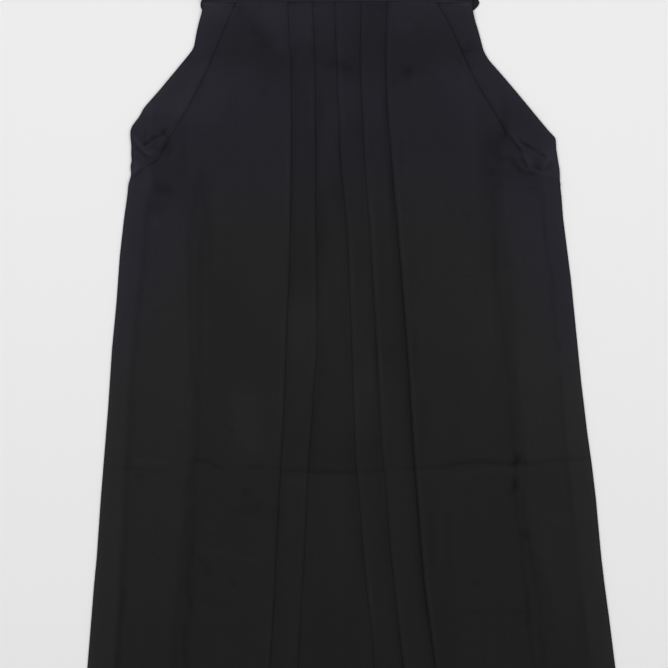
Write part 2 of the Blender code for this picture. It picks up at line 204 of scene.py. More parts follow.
class Lines:
    """Where every edge and fold of the garment lies at the given distances below the waist."""

    def __init__(self, down):
        down = np.asarray(down, float)
        for field, knots in (PLEAT_LINES | TUCKS).items():
            setattr(self, field, monotone(knots, down))
        self.under_a_end, self.under_e_end = self.pleat_a - self.tuck_a, self.pleat_e + self.tuck_e
        self.centre_back = -18.75 + 18.75 * np.clip(down, 0, HEM_DOWN) / HEM_DOWN
        share = (down - CROTCH_DOWN) / (HEM_DOWN - CROTCH_DOWN)
        gusset = GUSSET_TOP_WIDTH + (GUSSET_HEM_WIDTH - GUSSET_TOP_WIDTH) * share
        at_foot = smooth((down - 150) / (FOOT_DOWN - 150))
        lap, inset = SIDE_PLEAT_LAP * (1 + at_foot), SIDE_PLEAT_FOOT_INSET * at_foot
        for side, inward, outline, edge in (
            ("left", 1, OUTLINE_LEFT, EDGE_LEFT), ("right", -1, OUTLINE_RIGHT, EDGE_RIGHT),
        ):  # fmt: skip
            seam = sum(between(outline, down + reach) for reach in (-2, -1, 0, 1, 2)) / 5  # rounds the corners
            front = np.where(down < FOOT_DOWN, monotone(edge, down), seam)
            setattr(self, f"side_{side}", seam)
            setattr(self, f"edge_{side}", front)
            setattr(self, f"gusset_{side}", self.centre_back - inward * gusset)
            setattr(self, f"side_pleat_in_{side}", front + inward * lap)
            setattr(self, f"side_pleat_out_{side}", seam + inward * inset)

    def at(self, edge):
        """x of an edge that is given as a line's name, or as a name and an offset."""
        name, offset = (edge, 0) if isinstance(edge, str) else edge
        return getattr(self, name) + offset


# The stack of layers -----------------------------------------------------------------------------------------

# level counts from the floor up, low and high are the edges, first and last the range of "down", and before and
# after the lengths over which the layers above come down past its two ends. prints says how sharply its low and
# high edges show through the layers above.
Layer = namedtuple(
    "Layer", "level low high first last before after prints", defaults=(FRONT_TOP, HEM_DOWN, 6.0, 6.0, (0, 0))
)
IN_GUSSET = {"first": CROTCH_DOWN, "before": 50}
IN_OPENING = {"last": FOOT_DOWN, "after": 50}
IN_BAND = {"low": "side_left", "high": "side_right", "first": BACK_TOP, "last": 0, "after": 27}
CENTRE_END = ("pleat_c", INNER_TUCK)
BACK_TUCKS = (  # side, low, high
    ("left", ("centre_back", -BACK_TUCK), "centre_back"), ("right", "centre_back", ("centre_back", BACK_TUCK)),
)  # fmt: skip
LAYERS = {
    "back_outer": Layer(0, "side_left", "side_right", BACK_TOP),
    **{f"back_under_{side}": Layer(1, low, high, BACK_TOP) for side, low, high in BACK_TUCKS},
    **{f"back_inner_{side}": Layer(2, low, high, BACK_TOP) for side, low, high in BACK_TUCKS},
    "gusset_lower_left": Layer(3, "gusset_left", ("centre_back", -SEAM / 2), prints=(0.15, 0), **IN_GUSSET),
    "gusset_lower_right": Layer(3, ("centre_back", SEAM / 2), "gusset_right", prints=(0, 0.15), **IN_GUSSET),
    "gusset_upper_left": Layer(4, "gusset_left", CENTRE_END, prints=(0.15, 0), **IN_GUSSET),
    "band_inner": Layer(5, **IN_BAND),
    "side_pleat_left": Layer(6, "side_pleat_out_left", "side_pleat_in_left", **IN_OPENING),
    "side_pleat_right": Layer(6, "side_pleat_in_right", "side_pleat_out_right", **IN_OPENING),
    "centre": Layer(6, ("pleat_b", -INNER_TUCK), CENTRE_END),
    "under_b": Layer(7, ("pleat_b", -INNER_TUCK), "pleat_b"),
    "under_c": Layer(7, "pleat_c", CENTRE_END),
    "gusset_upper_right": Layer(
        7, ("pleat_c", INNER_TUCK + SEAM), "gusset_right", prints=(0, 0.15), **IN_GUSSET
    ),
    "leaf_ab": Layer(8, "under_a_end", "pleat_b", prints=(0.3, 0)),
    "leaf_cd": Layer(8, "pleat_c", ("pleat_d", INNER_TUCK)),
    "under_a": Layer(9, "under_a_end", "pleat_a", prints=(0.3, 0)),
    "under_d": Layer(9, "pleat_d", ("pleat_d", INNER_TUCK)),
    "main_left": Layer(10, "edge_left", "pleat_a"),
    "leaf_de": Layer(10, "pleat_d", "under_e_end", prints=(0, 0.35)),
    "under_e": Layer(11, "pleat_e", "under_e_end", prints=(0, 0.35)),
    "main_right": Layer(12, "pleat_e", "edge_right"),
    "band_outer": Layer(13, **IN_BAND),
}
TOP_LEVEL = 14
PRINT_LENGTH = 7.0  # length of the sharp part of a slope where an edge shows through


def fall(outside, printed):
    """From 1 at a layer's edge to 0 a slope's length away; the printed share of it comes at once."""
    return 1 - printed * smooth(outside / PRINT_LENGTH) - (1 - printed) * smooth(outside / SLOPE)


def height(level, x, down):
    """Middle height of a layer: it lies on every lower level that is there. x and down are alike in shape."""
    lines = Lines(down)
    total = np.zeros_like(x)
    for lower in range(level):
        most = np.zeros_like(x)
        for part in LAYERS.values():
            if part.level == lower:
                across = np.minimum(
                    fall(lines.at(part.low) - x, part.prints[0]), fall(x - lines.at(part.high), part.prints[1])
                )
                past = np.maximum((part.first - down) / part.before, (down - part.last) / part.after)
                most = np.maximum(most, across * (1 - smooth(past)))
        total += most
    return HALF + STEP * total


# Creases -----------------------------------------------------------------------------------------------------

# Each crease is (half_width, rise, tone, and its points): half_width is how far it reaches to each side, and rise
# its height (less than 0 in a trough). tone is the painted shade (less than 0) or painted highlight that goes with
# it. A point is (x, down, strength), and its strength is 1 where none is given.
STORAGE_CREASES = [  # the fold across the whole garment, and the swelling below it
    (3.2, -0.5, -0.19, (-283, 511, 0.4), (-262, 511, 0.6), (-235, 514, 0.6), (-208, 514, 0.4), (-185, 507, 0.2),
     (-172, 503.5), (-160, 505), (-150, 511), (-138, 512, 0.1), (-112, 511, 0.6), (-105, 511, 0.9), (-96, 511, 0.3),
     (-84, 512, 0.3), (-78, 514, 0.9), (-60, 515, 0.9), (-20, 516), (-2, 516.5, 0.8), (3, 514, 0.3),
     (16, 516.5, 0.6), (28, 514, 0.7), (36, 512, 0.3), (66, 512, 0.4), (84, 511, 0.5), (98, 510.5, 1.3),
     (114, 507.5, 1.2), (126, 505.5, 1.2), (140, 505, 1.1), (165, 507, 0.9), (185, 507, 0.8), (196, 507, 0.9),
     (212, 505, 0.5), (236, 503, 0.9), (252, 502, 0.9), (262, 501.5, 0.6)),
    (3.4, 0.2, 0.12, (-240, 505), (-216, 505, 0.9), (-206, 506, 0.2)),
    (4.5, 0.25, 0.1, (-78, 524, 0.7), (-54, 530), (-48, 524, 0.2), (105, 518, 0.5), (120, 524, 0.8), (132, 516, 0.9),
     (150, 515, 0.7), (170, 514, 0.7), (185, 513, 0.5), (215, 514, 0.2), (240, 511, 0.3)),
]  # fmt: skip
SEAM_CREASES = [  # seam allowances inside the side seams
    (4.2, -0.4, -0.2, (-223.6, 198, 0), (-226, 212, 0.5), (-229, 236, 0.9), (-231, 262), (-233, 300, 0.9),
     (-239, 345, 0.7), (-240, 368, 0.9), (-243.4, 400, 0.9), (-246, 440, 0.9), (-247, 470, 0.7), (-248, 497, 1.1),
     (-250, 513, 1.3), (-249, 522, 0.8), (-251, 545, 0.9), (-251, 580, 0.7), (-256, 640, 0.9), (-254, 655, 1.5),
     (-257, 677), (-258, 705, 0.7), (-260, 722), (-263, 760, 0.8), (-272, 900, 0.8)),
    (3, -0.35, -0.2, (207.6, 208, 0.6), (208, 235, 0.9), (210.5, 262, 1.1), (213, 278, 0.6), (217, 295, 1.1),
     (218.5, 322, 1.1), (220, 345, 0.6), (222, 366, 0.5), (225.5, 376, 1.3), (226.5, 396, 0.3), (227.5, 415, 0.8),
     (229, 440, 0.9), (230.5, 468), (233, 488, 0.6), (235, 510, 0.5), (237, 535, 1.1), (239, 552, 0.4),
     (241.5, 568, 0.9), (247, 600, 0.3), (249, 645, 0.5), (252, 672, 1.1), (256, 700, 0.5), (262, 728, 0.9),
     (281, 900, 0.8)),
]  # fmt: skip
TUCK_CREASES = [  # the inner folds of the two outer pleats, showing through
    (3.6, -0.3, -0.14, (-166, 186, 0.3), (-168, 198, 1.4), (-166, 222, 0.8), (-159, 245, 0.7), (-158, 265),
     (-158, 286, 0.6)),
    (3.8, -0.35, -0.14, (-166, 250, 0.5), (-168, 268, 1.2), (-168.5, 290, 1.2), (-170, 310, 0.5), (-171.5, 333),
     (-170, 347, 0.7), (-171, 362, 0.9), (-168, 378, 1.2), (-171, 398, 0.8), (-172.5, 412, 1.1), (-172, 432, 1.3),
     (-170, 450, 0.8), (-171, 480, 0.9), (-173, 500, 1.1), (-177, 520, 0.9), (-175, 545, 0.5), (-176, 562),
     (-178, 580, 0.8), (-178, 602, 1.7), (-182, 622, 1.1), (-182.5, 648, 1.6), (-179, 661, 1.9), (-182, 676, 0.5),
     (-186, 690, 1.3), (-187, 713, 1.5), (-184, 730, 1.1), (-194, 800, 0.8), (-201, 900, 0.7)),
    (3, -0.25, -0.14, (-176, 205, 1.1), (-174, 222), (-180, 245, 0.5), (-182.5, 258, 0.4), (-180, 285, 0.8),
     (-181, 312), (-180, 330, 0.8), (-181, 352, 0.5), (-179, 372, 0.9), (-178, 386, 0.8), (-179, 410, 0.9),
     (-184, 425, 0.6), (-184, 440, 0.1)),
    (3.6, -0.2, -0.14, (-183, 525), (-186, 545, 0.2), (-184, 566, 0.8), (-188, 590, 0.5), (-194, 612, 0.9),
     (-194, 628, 1.1), (-192, 644, 1.1), (-196, 655, 0.6), (-193, 680, 0.2), (-196, 715, 0.9), (-203, 780, 0.4)),
    (3.1, -0.35, -0.16, (153, 184, 1.6), (150, 192, 0.9), (152, 204, 0.9), (152.5, 225, 0.6), (152, 250, 0.6),
     (154, 262, 1.3), (154.5, 285, 1.3), (153, 303), (157, 312, 0.6), (160, 322, 1.3), (160, 336), (162, 343, 0.5),
     (164.5, 352), (165.5, 380), (167, 400), (170, 414, 1.2), (171, 426, 0.6), (171.5, 445, 0.7), (174, 461, 1.4),
     (174, 478, 1.2), (174.5, 490, 0.9), (177, 500, 1.3), (177, 520, 0.5), (177, 545, 1.2), (178, 558, 0.9),
     (180, 575, 0.4), (183, 592, 0.9), (185, 612, 0.8), (186, 632, 0.6), (190, 650, 1.3), (190.5, 668, 2),
     (191, 682, 2), (192, 692, 0.6), (195, 712, 1.1), (197, 730, 1.1), (202, 800, 0.9), (209, 900, 0.8)),
    (3.6, -0.2, -0.13, (165, 262, 0.6), (168, 290, 0.7), (176, 280, 0.2), (178, 303, 0.6), (178, 330, 0.2),
     (178, 415, 0.7), (179, 432, 0.5), (183, 450, 0.6), (186, 470, 0.7), (186, 485, 0.6), (189, 520, 0.9),
     (186, 545, 0.8), (186, 570, 0.7), (190, 588, 1.1), (196, 625, 1.2), (200, 645, 0.5), (203, 660, 0.9),
     (203, 690, 0.8), (208, 715, 0.8), (209, 730, 0.7), (216, 800, 0.4)),
    (3.8, -0.4, -0.4, (180.5, 500), (178, 505, 1.1), (174.5, 508, 0.7)),
    (3, -0.3, -0.2, (188, 505), (192, 509, 0.5)),
    (4.2, -0.4, -0.4, (176.5, 526, 0.8), (176, 532, 1.2), (171, 537, 0.5)),
    (3.2, -0.3, -0.25, (184, 582), (186, 587, 0.8), (192, 584)),
]  # fmt: skip
SLACK_CREASES = [  # slackness under the band, and small creases in the pleats and panels
    (27, -0.4, -0.14, (-131, 24, 0.9), (-127, 36), (-124, 56, 0.9)),
    (9, -0.3, -0.12, (-116, 20, 0.8), (-109, 30), (-96, 46, 0.9)),
    (5, -0.2, -0.12, (-109, 30), (-108, 31)),
    (17, -0.4, -0.2, (-94, 48, 0.9), (-90, 62), (-86, 78, 0.9), (-79, 88, 0.4)),
    (4, -0.15, -0.12, (-79, 60), (-78, 68, 0.9)),
    (14, 0.3, 0.12, (-100, 12, 0.9), (-88, 14), (-84, 34), (-82, 46, 0.8)),
    (24, 0.3, 0.13, (-164, 76, 0.6), (-150, 84), (-130, 88, 0.9), (-118, 100, 0.5)),
    (6, -0.15, -0.12, (-101, 98), (-100, 99)),
    (30, -0.5, -0.16, (56, 52, 0.9), (76, 46), (96, 36, 0.9), (104, 44, 0.7)),
    (10, -0.3, -0.16, (44, 76, 0.8), (58, 76), (70, 74, 0.6)),
    (5, -0.2, -0.22, (57, 75), (60, 75)),
    (4.5, -0.2, -0.14, (68, 28), (70, 29, 0.7)),
    (3.5, -0.15, -0.1, (80, 14, 0.7), (81, 20, 0.7)),
    (4, 0.2, 0.16, (50, 27), (61, 27)),
    (5, 0.15, 0.12, (68, 83, 0.8), (76, 86, 0.6)),
    (20, 0.3, 0.13, (102, 76, 0.9), (112, 92), (122, 112, 0.8)),
    (6, -0.15, -0.14, (44, 88), (44, 94, 0.8)),
    (7, -0.3, -0.25, (-30, 70, 0.7), (-21, 67, 1.2), (-12, 71, 1.1), (-6, 73, 0.7)),
    (3, -0.2, -0.15, (-37, 50), (-30, 51)),
    (4, 0.2, 0.12, (-38, 72), (-35, 78, 0.9)),
    (4.5, -0.15, -0.14, (-52, 112), (-51, 118)),
    (3.5, -0.15, -0.12, (-36, 106), (-36, 130, 0.8)),
    (6.5, -0.3, -0.26, (-212, 205), (-204, 206, 1.1)),
    (6, -0.2, -0.12, (-218, 198), (-218, 210, 0.8)),
    (7, -0.2, -0.14, (-224, 224, 0.9), (-213, 224, 0.8)),
    (3, -0.15, -0.15, (-203, 216), (-203, 219)),
    (3.5, 0.3, 0.18, (-218, 242), (-218, 244)),
    (9, 0.2, 0.09, (-150, 217, 0.9), (-140, 200, 0.6), (-130, 195, 0.8)),
    (5, 0.2, 0.13, (-144, 236, 0.9), (-136, 243)),
    (30, -0.2, -0.09, (-156, 320, 0.9), (-128, 350), (-110, 385), (-92, 405, 0.7)),
    (22, 0.25, 0.12, (-124, 440, 0.8), (-118, 465), (-114, 490, 0.8)),
    (4.5, -0.15, -0.14, (-134, 469), (-134, 470)),
    (5, -0.15, -0.12, (-92, 453), (-92, 454)),
    (4, -0.2, -0.22, (-120, 538), (-115, 538)),
    (9, -0.2, -0.15, (-126, 560, 0.7), (-114, 555), (-108, 555)),
    (6, -0.15, -0.12, (-90, 560), (-88, 560)),
    (4, -0.2, -0.17, (-238, 520), (-234, 520)),
    (5, 0.15, 0.1, (-160, 577), (-158, 580)),
    (4.5, 0.2, 0.1, (-168, 604, 0.7), (-155, 603), (-143, 603, 0.9)),
    (5, 0.2, 0.1, (-118, 611), (-107, 611)),
    (5, -0.15, -0.12, (-170, 610, 0.8), (-162, 620, 0.9), (-160, 630, 0.9)),
    (4.5, -0.15, -0.14, (-135, 636), (-133, 639)),
    (4, -0.15, -0.1, (-163, 653, 0.8), (-152, 655), (-140, 661, 0.7)),
    (5, -0.15, -0.08, (-186, 686, 0.6), (-150, 688, 0.8), (-115, 688, 0.7)),
    (4, -0.15, -0.17, (66, 358, 0.9), (68, 410, 0.9)),
    (3.5, -0.1, -0.11, (76, 436, 0.8), (76, 480, 0.5)),
    (7, -0.15, -0.1, (66, 285, 0.8), (67, 325, 0.8)),
    (3.6, -0.15, -0.12, (84.5, 563, 0.8), (86, 617, 0.9)),
    (3.6, -0.15, -0.14, (102, 563, 0.9), (103, 615, 0.9)),
    (14, -0.2, -0.1, (102, 632, 0.9), (103, 665, 0.8), (104, 730, 0.7)),
    (2.6, -0.15, -0.13, (121, 670, 0.8), (150, 671), (186, 670)),
    (4, -0.15, -0.12, (132, 636), (134, 639)),
    (3.5, -0.15, -0.13, (101, 224), (102, 227)),
    (3.5, -0.15, -0.15, (123, 232), (123.5, 237, 0.9)),
    (3, -0.12, -0.13, (122, 300), (129, 300, 0.7)),
    (2.6, -0.12, -0.13, (132, 307, 0.9), (133, 320), (138, 314, 0.8)),
    (4, 0.2, 0.14, (143, 408, 0.7), (144, 418)),
    (10, -0.15, -0.07, (98, 400, 0.7), (118, 398, 0.8)),
    (4.5, -0.15, -0.13, (202, 536), (203, 537)),
    (6, 0.2, 0.1, (222, 568), (232, 570, 0.9)),
    (4.5, -0.15, -0.12, (52, 154, 0.9), (52, 174, 0.9)),
    (6, -0.15, -0.08, (56, 226), (58, 228)),
]  # fmt: skip
BAND_CREASES = [  # puffs of the cloth under the band's stitched edge, with painted highlight on them and along the edge
    (1.9, 0.45, 0.4, (-166, 0.6, 1.1), (-155, 0.6, 1.7), (-140, 0.6, 1.6), (-133, 1.4, 0.5), (-118, 0.8, 0.4),
     (-98, 0.8, 0.5), (-76, 0.8, 0.7), (-66, 1, 0.5), (-60, 0.8, 1.2), (-54, 1, 0.8), (-48, 0.8, 0.8),
     (-42, 0.7, 1.5), (-28, 0.7, 1.3), (-20, 0.7), (-14, 0.7, 1.1), (-4, 0.7, 1.1), (6, 0.7, 1.4), (32, 0.7, 1.4),
     (38, 0.8, 0.3), (62, 0.4, 0.5), (92, 0.4, 0.7), (112, 0.8, 1.2), (126, 0.8, 1.6)),
    (2.2, 0, 0.45, (-170, -1), (-122, -1), (-60, -1.2, 0.9), (32, -1.2, 1.1), (42, -1, 0.5), (130, -1)),
    (8, 0.4, 0.16, (-157, 10, 0.9), (-148, 9)),
    (4.5, -0.3, -0.16, (-126, 8.5), (-123, 9)),
    (3, 0.3, 0.1, (-119, 8), (-116, 9, 0.8)),
    (2.4, -0.4, -0.3, (-133, 3.5), (-132, 5)),
    (5, -0.2, -0.12, (14, 4, 0.8), (30, 6), (34, 8, 0.8)),
    (3, -0.15, -0.12, (2, 12), (2.5, 18, 0.8)),
]  # fmt: skip
LEFT_FOOT_CREASES = [  # gathers down the left side opening, then the cup at its foot
    (2, -0.3, -0.16, (-149, 52, 0.8), (-148.5, 60, 0.7)),
    (5, -0.3, -0.12, (-169.5, 88, 0.8), (-168, 92, 0.6)),
    (3.5, 0.3, 0.12, (-157, 78), (-155, 80)),
    (2.2, -0.4, -0.3, (-230, 122, 0.4), (-229, 138, 0.8), (-230, 148)),
    (4, -0.4, -0.16, (-241, 141, 0.9), (-238, 145, 0.8)),
    (2, -0.5, -0.24, (-213, 138, 0.8), (-209.5, 142), (-206.5, 147, 0.9)),
    (2.1, -0.6, -0.5, (-205.5, 138.5, 0.8), (-209.5, 142), (-214, 146.5), (-219, 147.5), (-222.5, 149.5),
     (-226, 152.5, 1.2), (-230.5, 155.5, 1.8)),
    (2.6, -0.4, -0.24, (-232.5, 150, 0.9), (-230, 152, 0.5)),
    (2.8, 1, 0.06, (-210.5, 147, 0.8), (-216, 151), (-222.5, 154), (-228.5, 158.5, 0.8)),
    (2.4, 0.6, 0.03, (-216, 143.5, 0.6), (-222, 145.5, 0.9), (-227, 149, 0.6)),
    (2.2, 0.6, 0.14, (-227, 150.5), (-230, 153, 0.5)),
    (2.7, 1.8, 0.4, (-243.5, 147, 0.6), (-239.5, 151.5, 1.3), (-235.5, 156.5), (-232, 161), (-228.5, 165.5),
     (-225.5, 167.5, 0.9), (-220.5, 165, 0.5)),
    (2, -0.6, -0.4, (-240, 158, 0.6), (-236.5, 163), (-231.5, 167), (-227, 171, 0.8)),
    (2, 0.6, 0.12, (-239, 164, 0.6), (-234.5, 169, 0.9), (-230.5, 172, 0.6)),
    (2.6, 0.8, 0.2, (-213.5, 146, 0.6), (-213, 152), (-214.5, 159, 0.9)),
    (2.4, -0.3, -0.14, (-218, 160), (-217.5, 162)),
    (2.8, -0.4, -0.12, (-205, 148.5, 1.1), (-203.5, 151, 1.3), (-206.5, 157)),
    (3.6, -0.4, -0.22, (-208, 157.5, 1.2), (-210, 161, 1.5), (-212.5, 161, 0.9)),
    (3.2, -0.3, -0.1, (-212.5, 165), (-213.5, 170)),
    (3.2, -0.4, -0.16, (-218, 174.5), (-222, 176.5, 1.3), (-225, 178.5)),
    (2.6, -0.4, -0.2, (-228, 174), (-228.5, 178, 0.7)),
    (3.2, -0.4, -0.2, (-203.5, 162, 0.8), (-204.5, 168)),
    (3, 0.5, 0.16, (-198.5, 150), (-197.5, 152, 0.8)),
    (3, -0.2, -0.12, (-188, 163, 0.9), (-188, 170, 0.8)),
    (2.6, 1.1, 0.45, (-241, 176, 0.7), (-238.5, 180.5, 1.3), (-240.5, 184, 1.3), (-242.5, 187.5, 1.2)),
    (2.8, -0.5, -0.32, (-240.5, 190.5), (-238, 187.5), (-234.5, 184.5, 0.9)),
    (7, 0.2, 0.1, (-227, 190, 0.8), (-226, 205, 0.6)),
]  # fmt: skip
RIGHT_FOOT_CREASES = [  # the right side opening and its foot
    (3.4, 0.4, 0.12, (108, 4.5, 0.8), (120, 5), (127, 3, 1.2)),
    (3, -0.5, -0.3, (119, 55, 0.7), (123, 52.5), (129, 50.5)),
    (3, 0.3, 0.1, (118, 45), (120, 48, 0.8)),
    (5, 0.4, 0.14, (130, 58, 0.9), (135, 62)),
    (2.8, -0.35, -0.2, (115, 62), (117, 66, 0.9)),
    (3, 0.3, 0.1, (121, 83), (123, 84, 0.8)),
    (3.5, -0.3, -0.16, (142, 91), (144, 93, 0.8)),
    (4.5, -0.4, -0.24, (165.6, 108, 0.3), (166.5, 122, 0.9), (167, 130), (167, 145, 0.9)),
    (3.2, -0.4, -0.26, (162.5, 131), (163.3, 136, 1.5), (165.5, 141), (166, 146, 0.9)),
    (9, -0.4, -0.16, (153, 150, 0.8), (158, 158), (157, 168)),
    (3.5, -0.2, -0.14, (148.5, 156), (149, 163, 0.9)),
    (2.2, -0.4, -0.22, (172, 148, 0.9), (175.5, 153), (179.5, 158, 1.2), (182.5, 162, 1.1)),
    (2.2, 0.7, 0.2, (176.5, 147, 0.9), (178.5, 151), (182, 156, 0.7)),
    (2.1, -0.6, -0.5, (181, 149, 0.6), (185, 154.5, 0.9), (191, 157.5, 1.3), (196, 160.5)),
    (2.4, -0.6, -0.36, (198, 162, 0.8), (203, 165.5, 0.7), (208.5, 168.5, 1.5)),
    (2.6, 1, 0.08, (184, 158.5, 0.8), (190.5, 162), (197, 166, 0.9), (203, 170, 0.7)),
    (2.6, 0.7, 0.04, (186, 150.5, 0.6), (193, 154.5), (200, 159, 0.8)),
    (2.8, 1.5, 0.24, (209, 163.5, 0.8), (212, 167), (213.5, 173, 0.9), (211, 178, 0.7)),
    (2.6, 1.1, 0.2, (215, 168, 0.9), (218, 173, 0.8)),
    (2.4, -0.4, -0.2, (189, 161), (190, 163, 0.8)),
    (2.1, -0.5, -0.3, (183.5, 171, 0.8), (186.5, 176, 1.2), (189, 180.5)),
    (3.2, 0.7, 0.12, (187.5, 168, 0.7), (191.5, 174), (195, 178, 0.8)),
    (2.8, -0.6, -0.5, (197, 180.5), (203.5, 182.5, 1.2), (207, 183.5, 0.6)),
    (4.5, -0.4, -0.34, (200, 176, 0.9), (203, 177)),
    (2.8, -0.5, -0.32, (211.5, 183, 1.1), (214.5, 181, 0.9)),
    (2.2, -0.4, -0.2, (217, 178), (217.5, 181, 0.7)),
    (3.4, -0.6, -0.34, (174.5, 174), (176, 178), (180, 182, 1.2), (184, 185, 0.9)),
    (2.2, 0.6, 0.12, (180.5, 176, 0.8), (184.5, 181, 0.9)),
    (2.4, -0.4, -0.24, (185.5, 187.5), (187, 188.5, 0.9)),
    (3.2, -0.5, -0.32, (192, 187.5, 1.1), (195, 188, 1.1)),
    (2.2, 0.6, 0.14, (190.5, 184.5), (196, 183, 0.8)),
    (2.2, -0.4, -0.2, (159, 172.5, 0.7), (167, 171), (174, 171.5, 0.8)),
    (4.5, 0.3, 0.1, (163.5, 171, 0.5), (163.5, 165, 0.8)),
    (3.2, 0.4, 0.14, (166.5, 151), (168, 153, 0.8)),
    (4, 0.4, 0.12, (150, 196, 0.9), (155, 195)),
    (4, -0.3, -0.2, (157, 198), (158, 201, 0.9)),
    (4.5, -0.3, -0.16, (192, 203), (196, 204)),
]  # fmt: skip
HEM_CREASES = [  # the hem's turn-up
    (2.2, -0.3, -0.12, (-300, 872, 0.9), (-180, 872.5, 0.7), (-60, 871.5), (70, 872.5, 0.8), (190, 872, 0.9),
     (303, 871.5)),
]  # fmt: skip
CREASES = (
    STORAGE_CREASES + SEAM_CREASES + TUCK_CREASES + SLACK_CREASES + BAND_CREASES + LEFT_FOOT_CREASES
    + RIGHT_FOOT_CREASES + HEM_CREASES
)  # fmt: skip
CREASE_REACH = 2.6  # half widths after which a crease is no longer felt
CREASE_SPREAD = 0.62  # how much of its half width a crease's bell takes up
WAVES = [  # long soft waves of the lying cloth: waves per metre across and down, phase, height
    (3.1, 5.3, 0.4, 0.10), (-6.7, 3.9, 2.1, 0.08), (9.3, -7.7, 4.4, 0.05), (-4.9, 11.9, 1.3, 0.05),
    (15.1, 6.1, 3.0, 0.03),
]  # fmt: skip
DEEPEST = -0.5  # no crease goes deeper, so that no layer meets the one under it


def crease_fields(x, down):
    """Height, and tone of painted shade and highlight, that the creases give at each point."""
    rise, tone = np.zeros_like(x), np.zeros_like(x)
    for half_width, crease_rise, painted_shading, *points in CREASES:
        points = np.array([(*point, 1)[:3] for point in points], float)
        reach = CREASE_REACH * half_width
        low, high = points[:, :2].min(0) - reach, points[:, :2].max(0) + reach
        near = (x > low[0]) & (x < high[0]) & (down > low[1]) & (down < high[1])
        if not near.any():
            continue
        px, pd = x[near], down[near]
        best, strength = np.full(px.shape, np.inf), np.zeros(px.shape)
        for (x0, d0, s0), (x1, d1, s1) in zip(points, points[1:]):
            run_x, run_d = x1 - x0, d1 - d0
            t = np.clip(((px - x0) * run_x + (pd - d0) * run_d) / (run_x**2 + run_d**2), 0, 1)
            away = (px - x0 - t * run_x) ** 2 + (pd - d0 - t * run_d) ** 2
            closer = away < best
            best = np.where(closer, away, best)
            strength = np.where(closer, s0 + (s1 - s0) * t, strength)
        shape = strength * np.exp(-best / (2 * (half_width * CREASE_SPREAD) ** 2))
        rise[near] += crease_rise * shape
        tone[near] += painted_shading * shape
    return rise, tone


def wave_rise(x, down):
    return sum(
        size * np.sin(2 * math.pi * (across * x + along * down) * MM + phase) for across, along, phase, size in WAVES
    )


# Tones -------------------------------------------------------------------------------------------------------

# Each is by distance down, as (down, tone). The first is painted light: the cloth is a little lighter towards
# the waist and darker towards the hem, as the light falls off down the garment.
PAINTED_FALLOFF = [
    (-28, 0.24), (8, 0.19), (20, 0.14), (32, 0.07), (54, 0), (80, 0.04), (100, 0.04), (200, 0.04), (300, 0.04),
    (380, 0), (455, -0.08), (520, -0.12), (640, -0.13), (900, -0.16),
]  # fmt: skip
LEAF_TONES = {  # painted light and shade: how much lighter or darker each leaf of the pleats is down its length
    "leaf_ab": [
        (0, 0.06), (36, 0.06), (52, -0.14), (130, -0.1), (300, -0.18), (335, 0.06), (395, 0.05), (480, -0.06),
        (530, 0.03), (900, 0),
    ],
    "centre": [
        (0, -0.03), (28, -0.08), (60, -0.12), (90, -0.02), (185, -0.06), (210, -0.16), (290, -0.06), (360, -0.03),
        (385, -0.06), (470, -0.03), (500, -0.09), (530, 0.02), (600, 0.02), (680, -0.06), (900, -0.05),
    ],
    "leaf_cd": [
        (0, -0.14), (40, -0.12), (52, -0.04), (66, -0.15), (82, -0.14), (96, -0.02), (120, -0.04), (140, -0.17),
        (300, -0.15), (390, -0.05), (412, 0.1), (460, 0.08), (485, -0.06), (540, 0), (630, 0), (900, -0.05),
    ],
    "leaf_de": [
        (0, -0.22), (40, -0.2), (60, -0.15), (80, -0.15), (98, -0.03), (150, -0.12), (230, -0.1), (310, -0.17),
        (385, -0.19), (405, -0.09), (440, 0), (900, 0.02),
    ],
}  # fmt: skip
SIDE_PLEAT_TONES = {  # painted sheen: the side pleats' grain runs aslant, so they catch the light and look a little lighter
    "left": [
        (0, 0.28), (14, 0.22), (26, 0.1), (62, 0.08), (74, 0.26), (88, 0.34), (104, 0.42), (116, 0.46), (126, 0.22),
        (140, 0.14), (152, 0.06), (172, 0.06), (184, 0.2), (196, 0.2),
    ],
    "right": [
        (0, 0.06), (20, 0.02), (38, 0.03), (50, -0.07), (66, 0), (76, 0.14), (98, 0.15), (114, 0.08), (140, 0.08),
        (156, 0.18), (172, 0.26), (196, 0.28),
    ],
}  # fmt: skip
EDGE_SHADES = {  # how dark the line beside each side opening's edge is
    "left": [
        (0, -0.3), (14, -0.2), (24, 0.02), (50, 0.08), (64, 0.12), (76, 0.18), (88, 0.22), (100, 0.3), (112, 0.34),
        (121, 0.14), (131, 0.2), (141, -0.04), (149, 0.1), (158, 0.2), (168, 0.06), (177, 0.14), (183, 0),
        (190, 0.14), (196, 0),
    ],
    "right": [
        (0, 0), (30, 0.1), (50, 0.1), (72, 0.26), (77, 0.04), (95, 0.3), (118, 0.28), (127, 0.06), (137, 0.06),
        (146, -0.1), (155, -0.02), (164, 0.1), (174, -0.06), (180, -0.22), (188, -0.2), (196, 0),
    ],
}  # fmt: skip
EDGE_SHADE_WIDTH = 3.4
FRONT_SHADE = 0.45  # the share of that line's darkness on the front panel itself
ROLLED_RIM = {"left": 0.2, "right": 0.65}  # painted shade: how dark the last millimetre of a rolled side is
ROLLED_HIGHLIGHT, ROLLED_HIGHLIGHT_LENGTH = 0.55, 3.5  # painted highlight: how much lighter the cloth is beside it, where it rolls over and catches the light
OPEN_RIM, OPEN_HIGHLIGHT, OPEN_HIGHLIGHT_LENGTH = 0.65, 0.5, 4.5  # the same painted shade and highlight on a side pleat's outer edge
RIM_WIDTH = 1.8
FOLD_HIGHLIGHT = 0.3  # painted highlight: how much lighter a pressed fold's rounded edge is
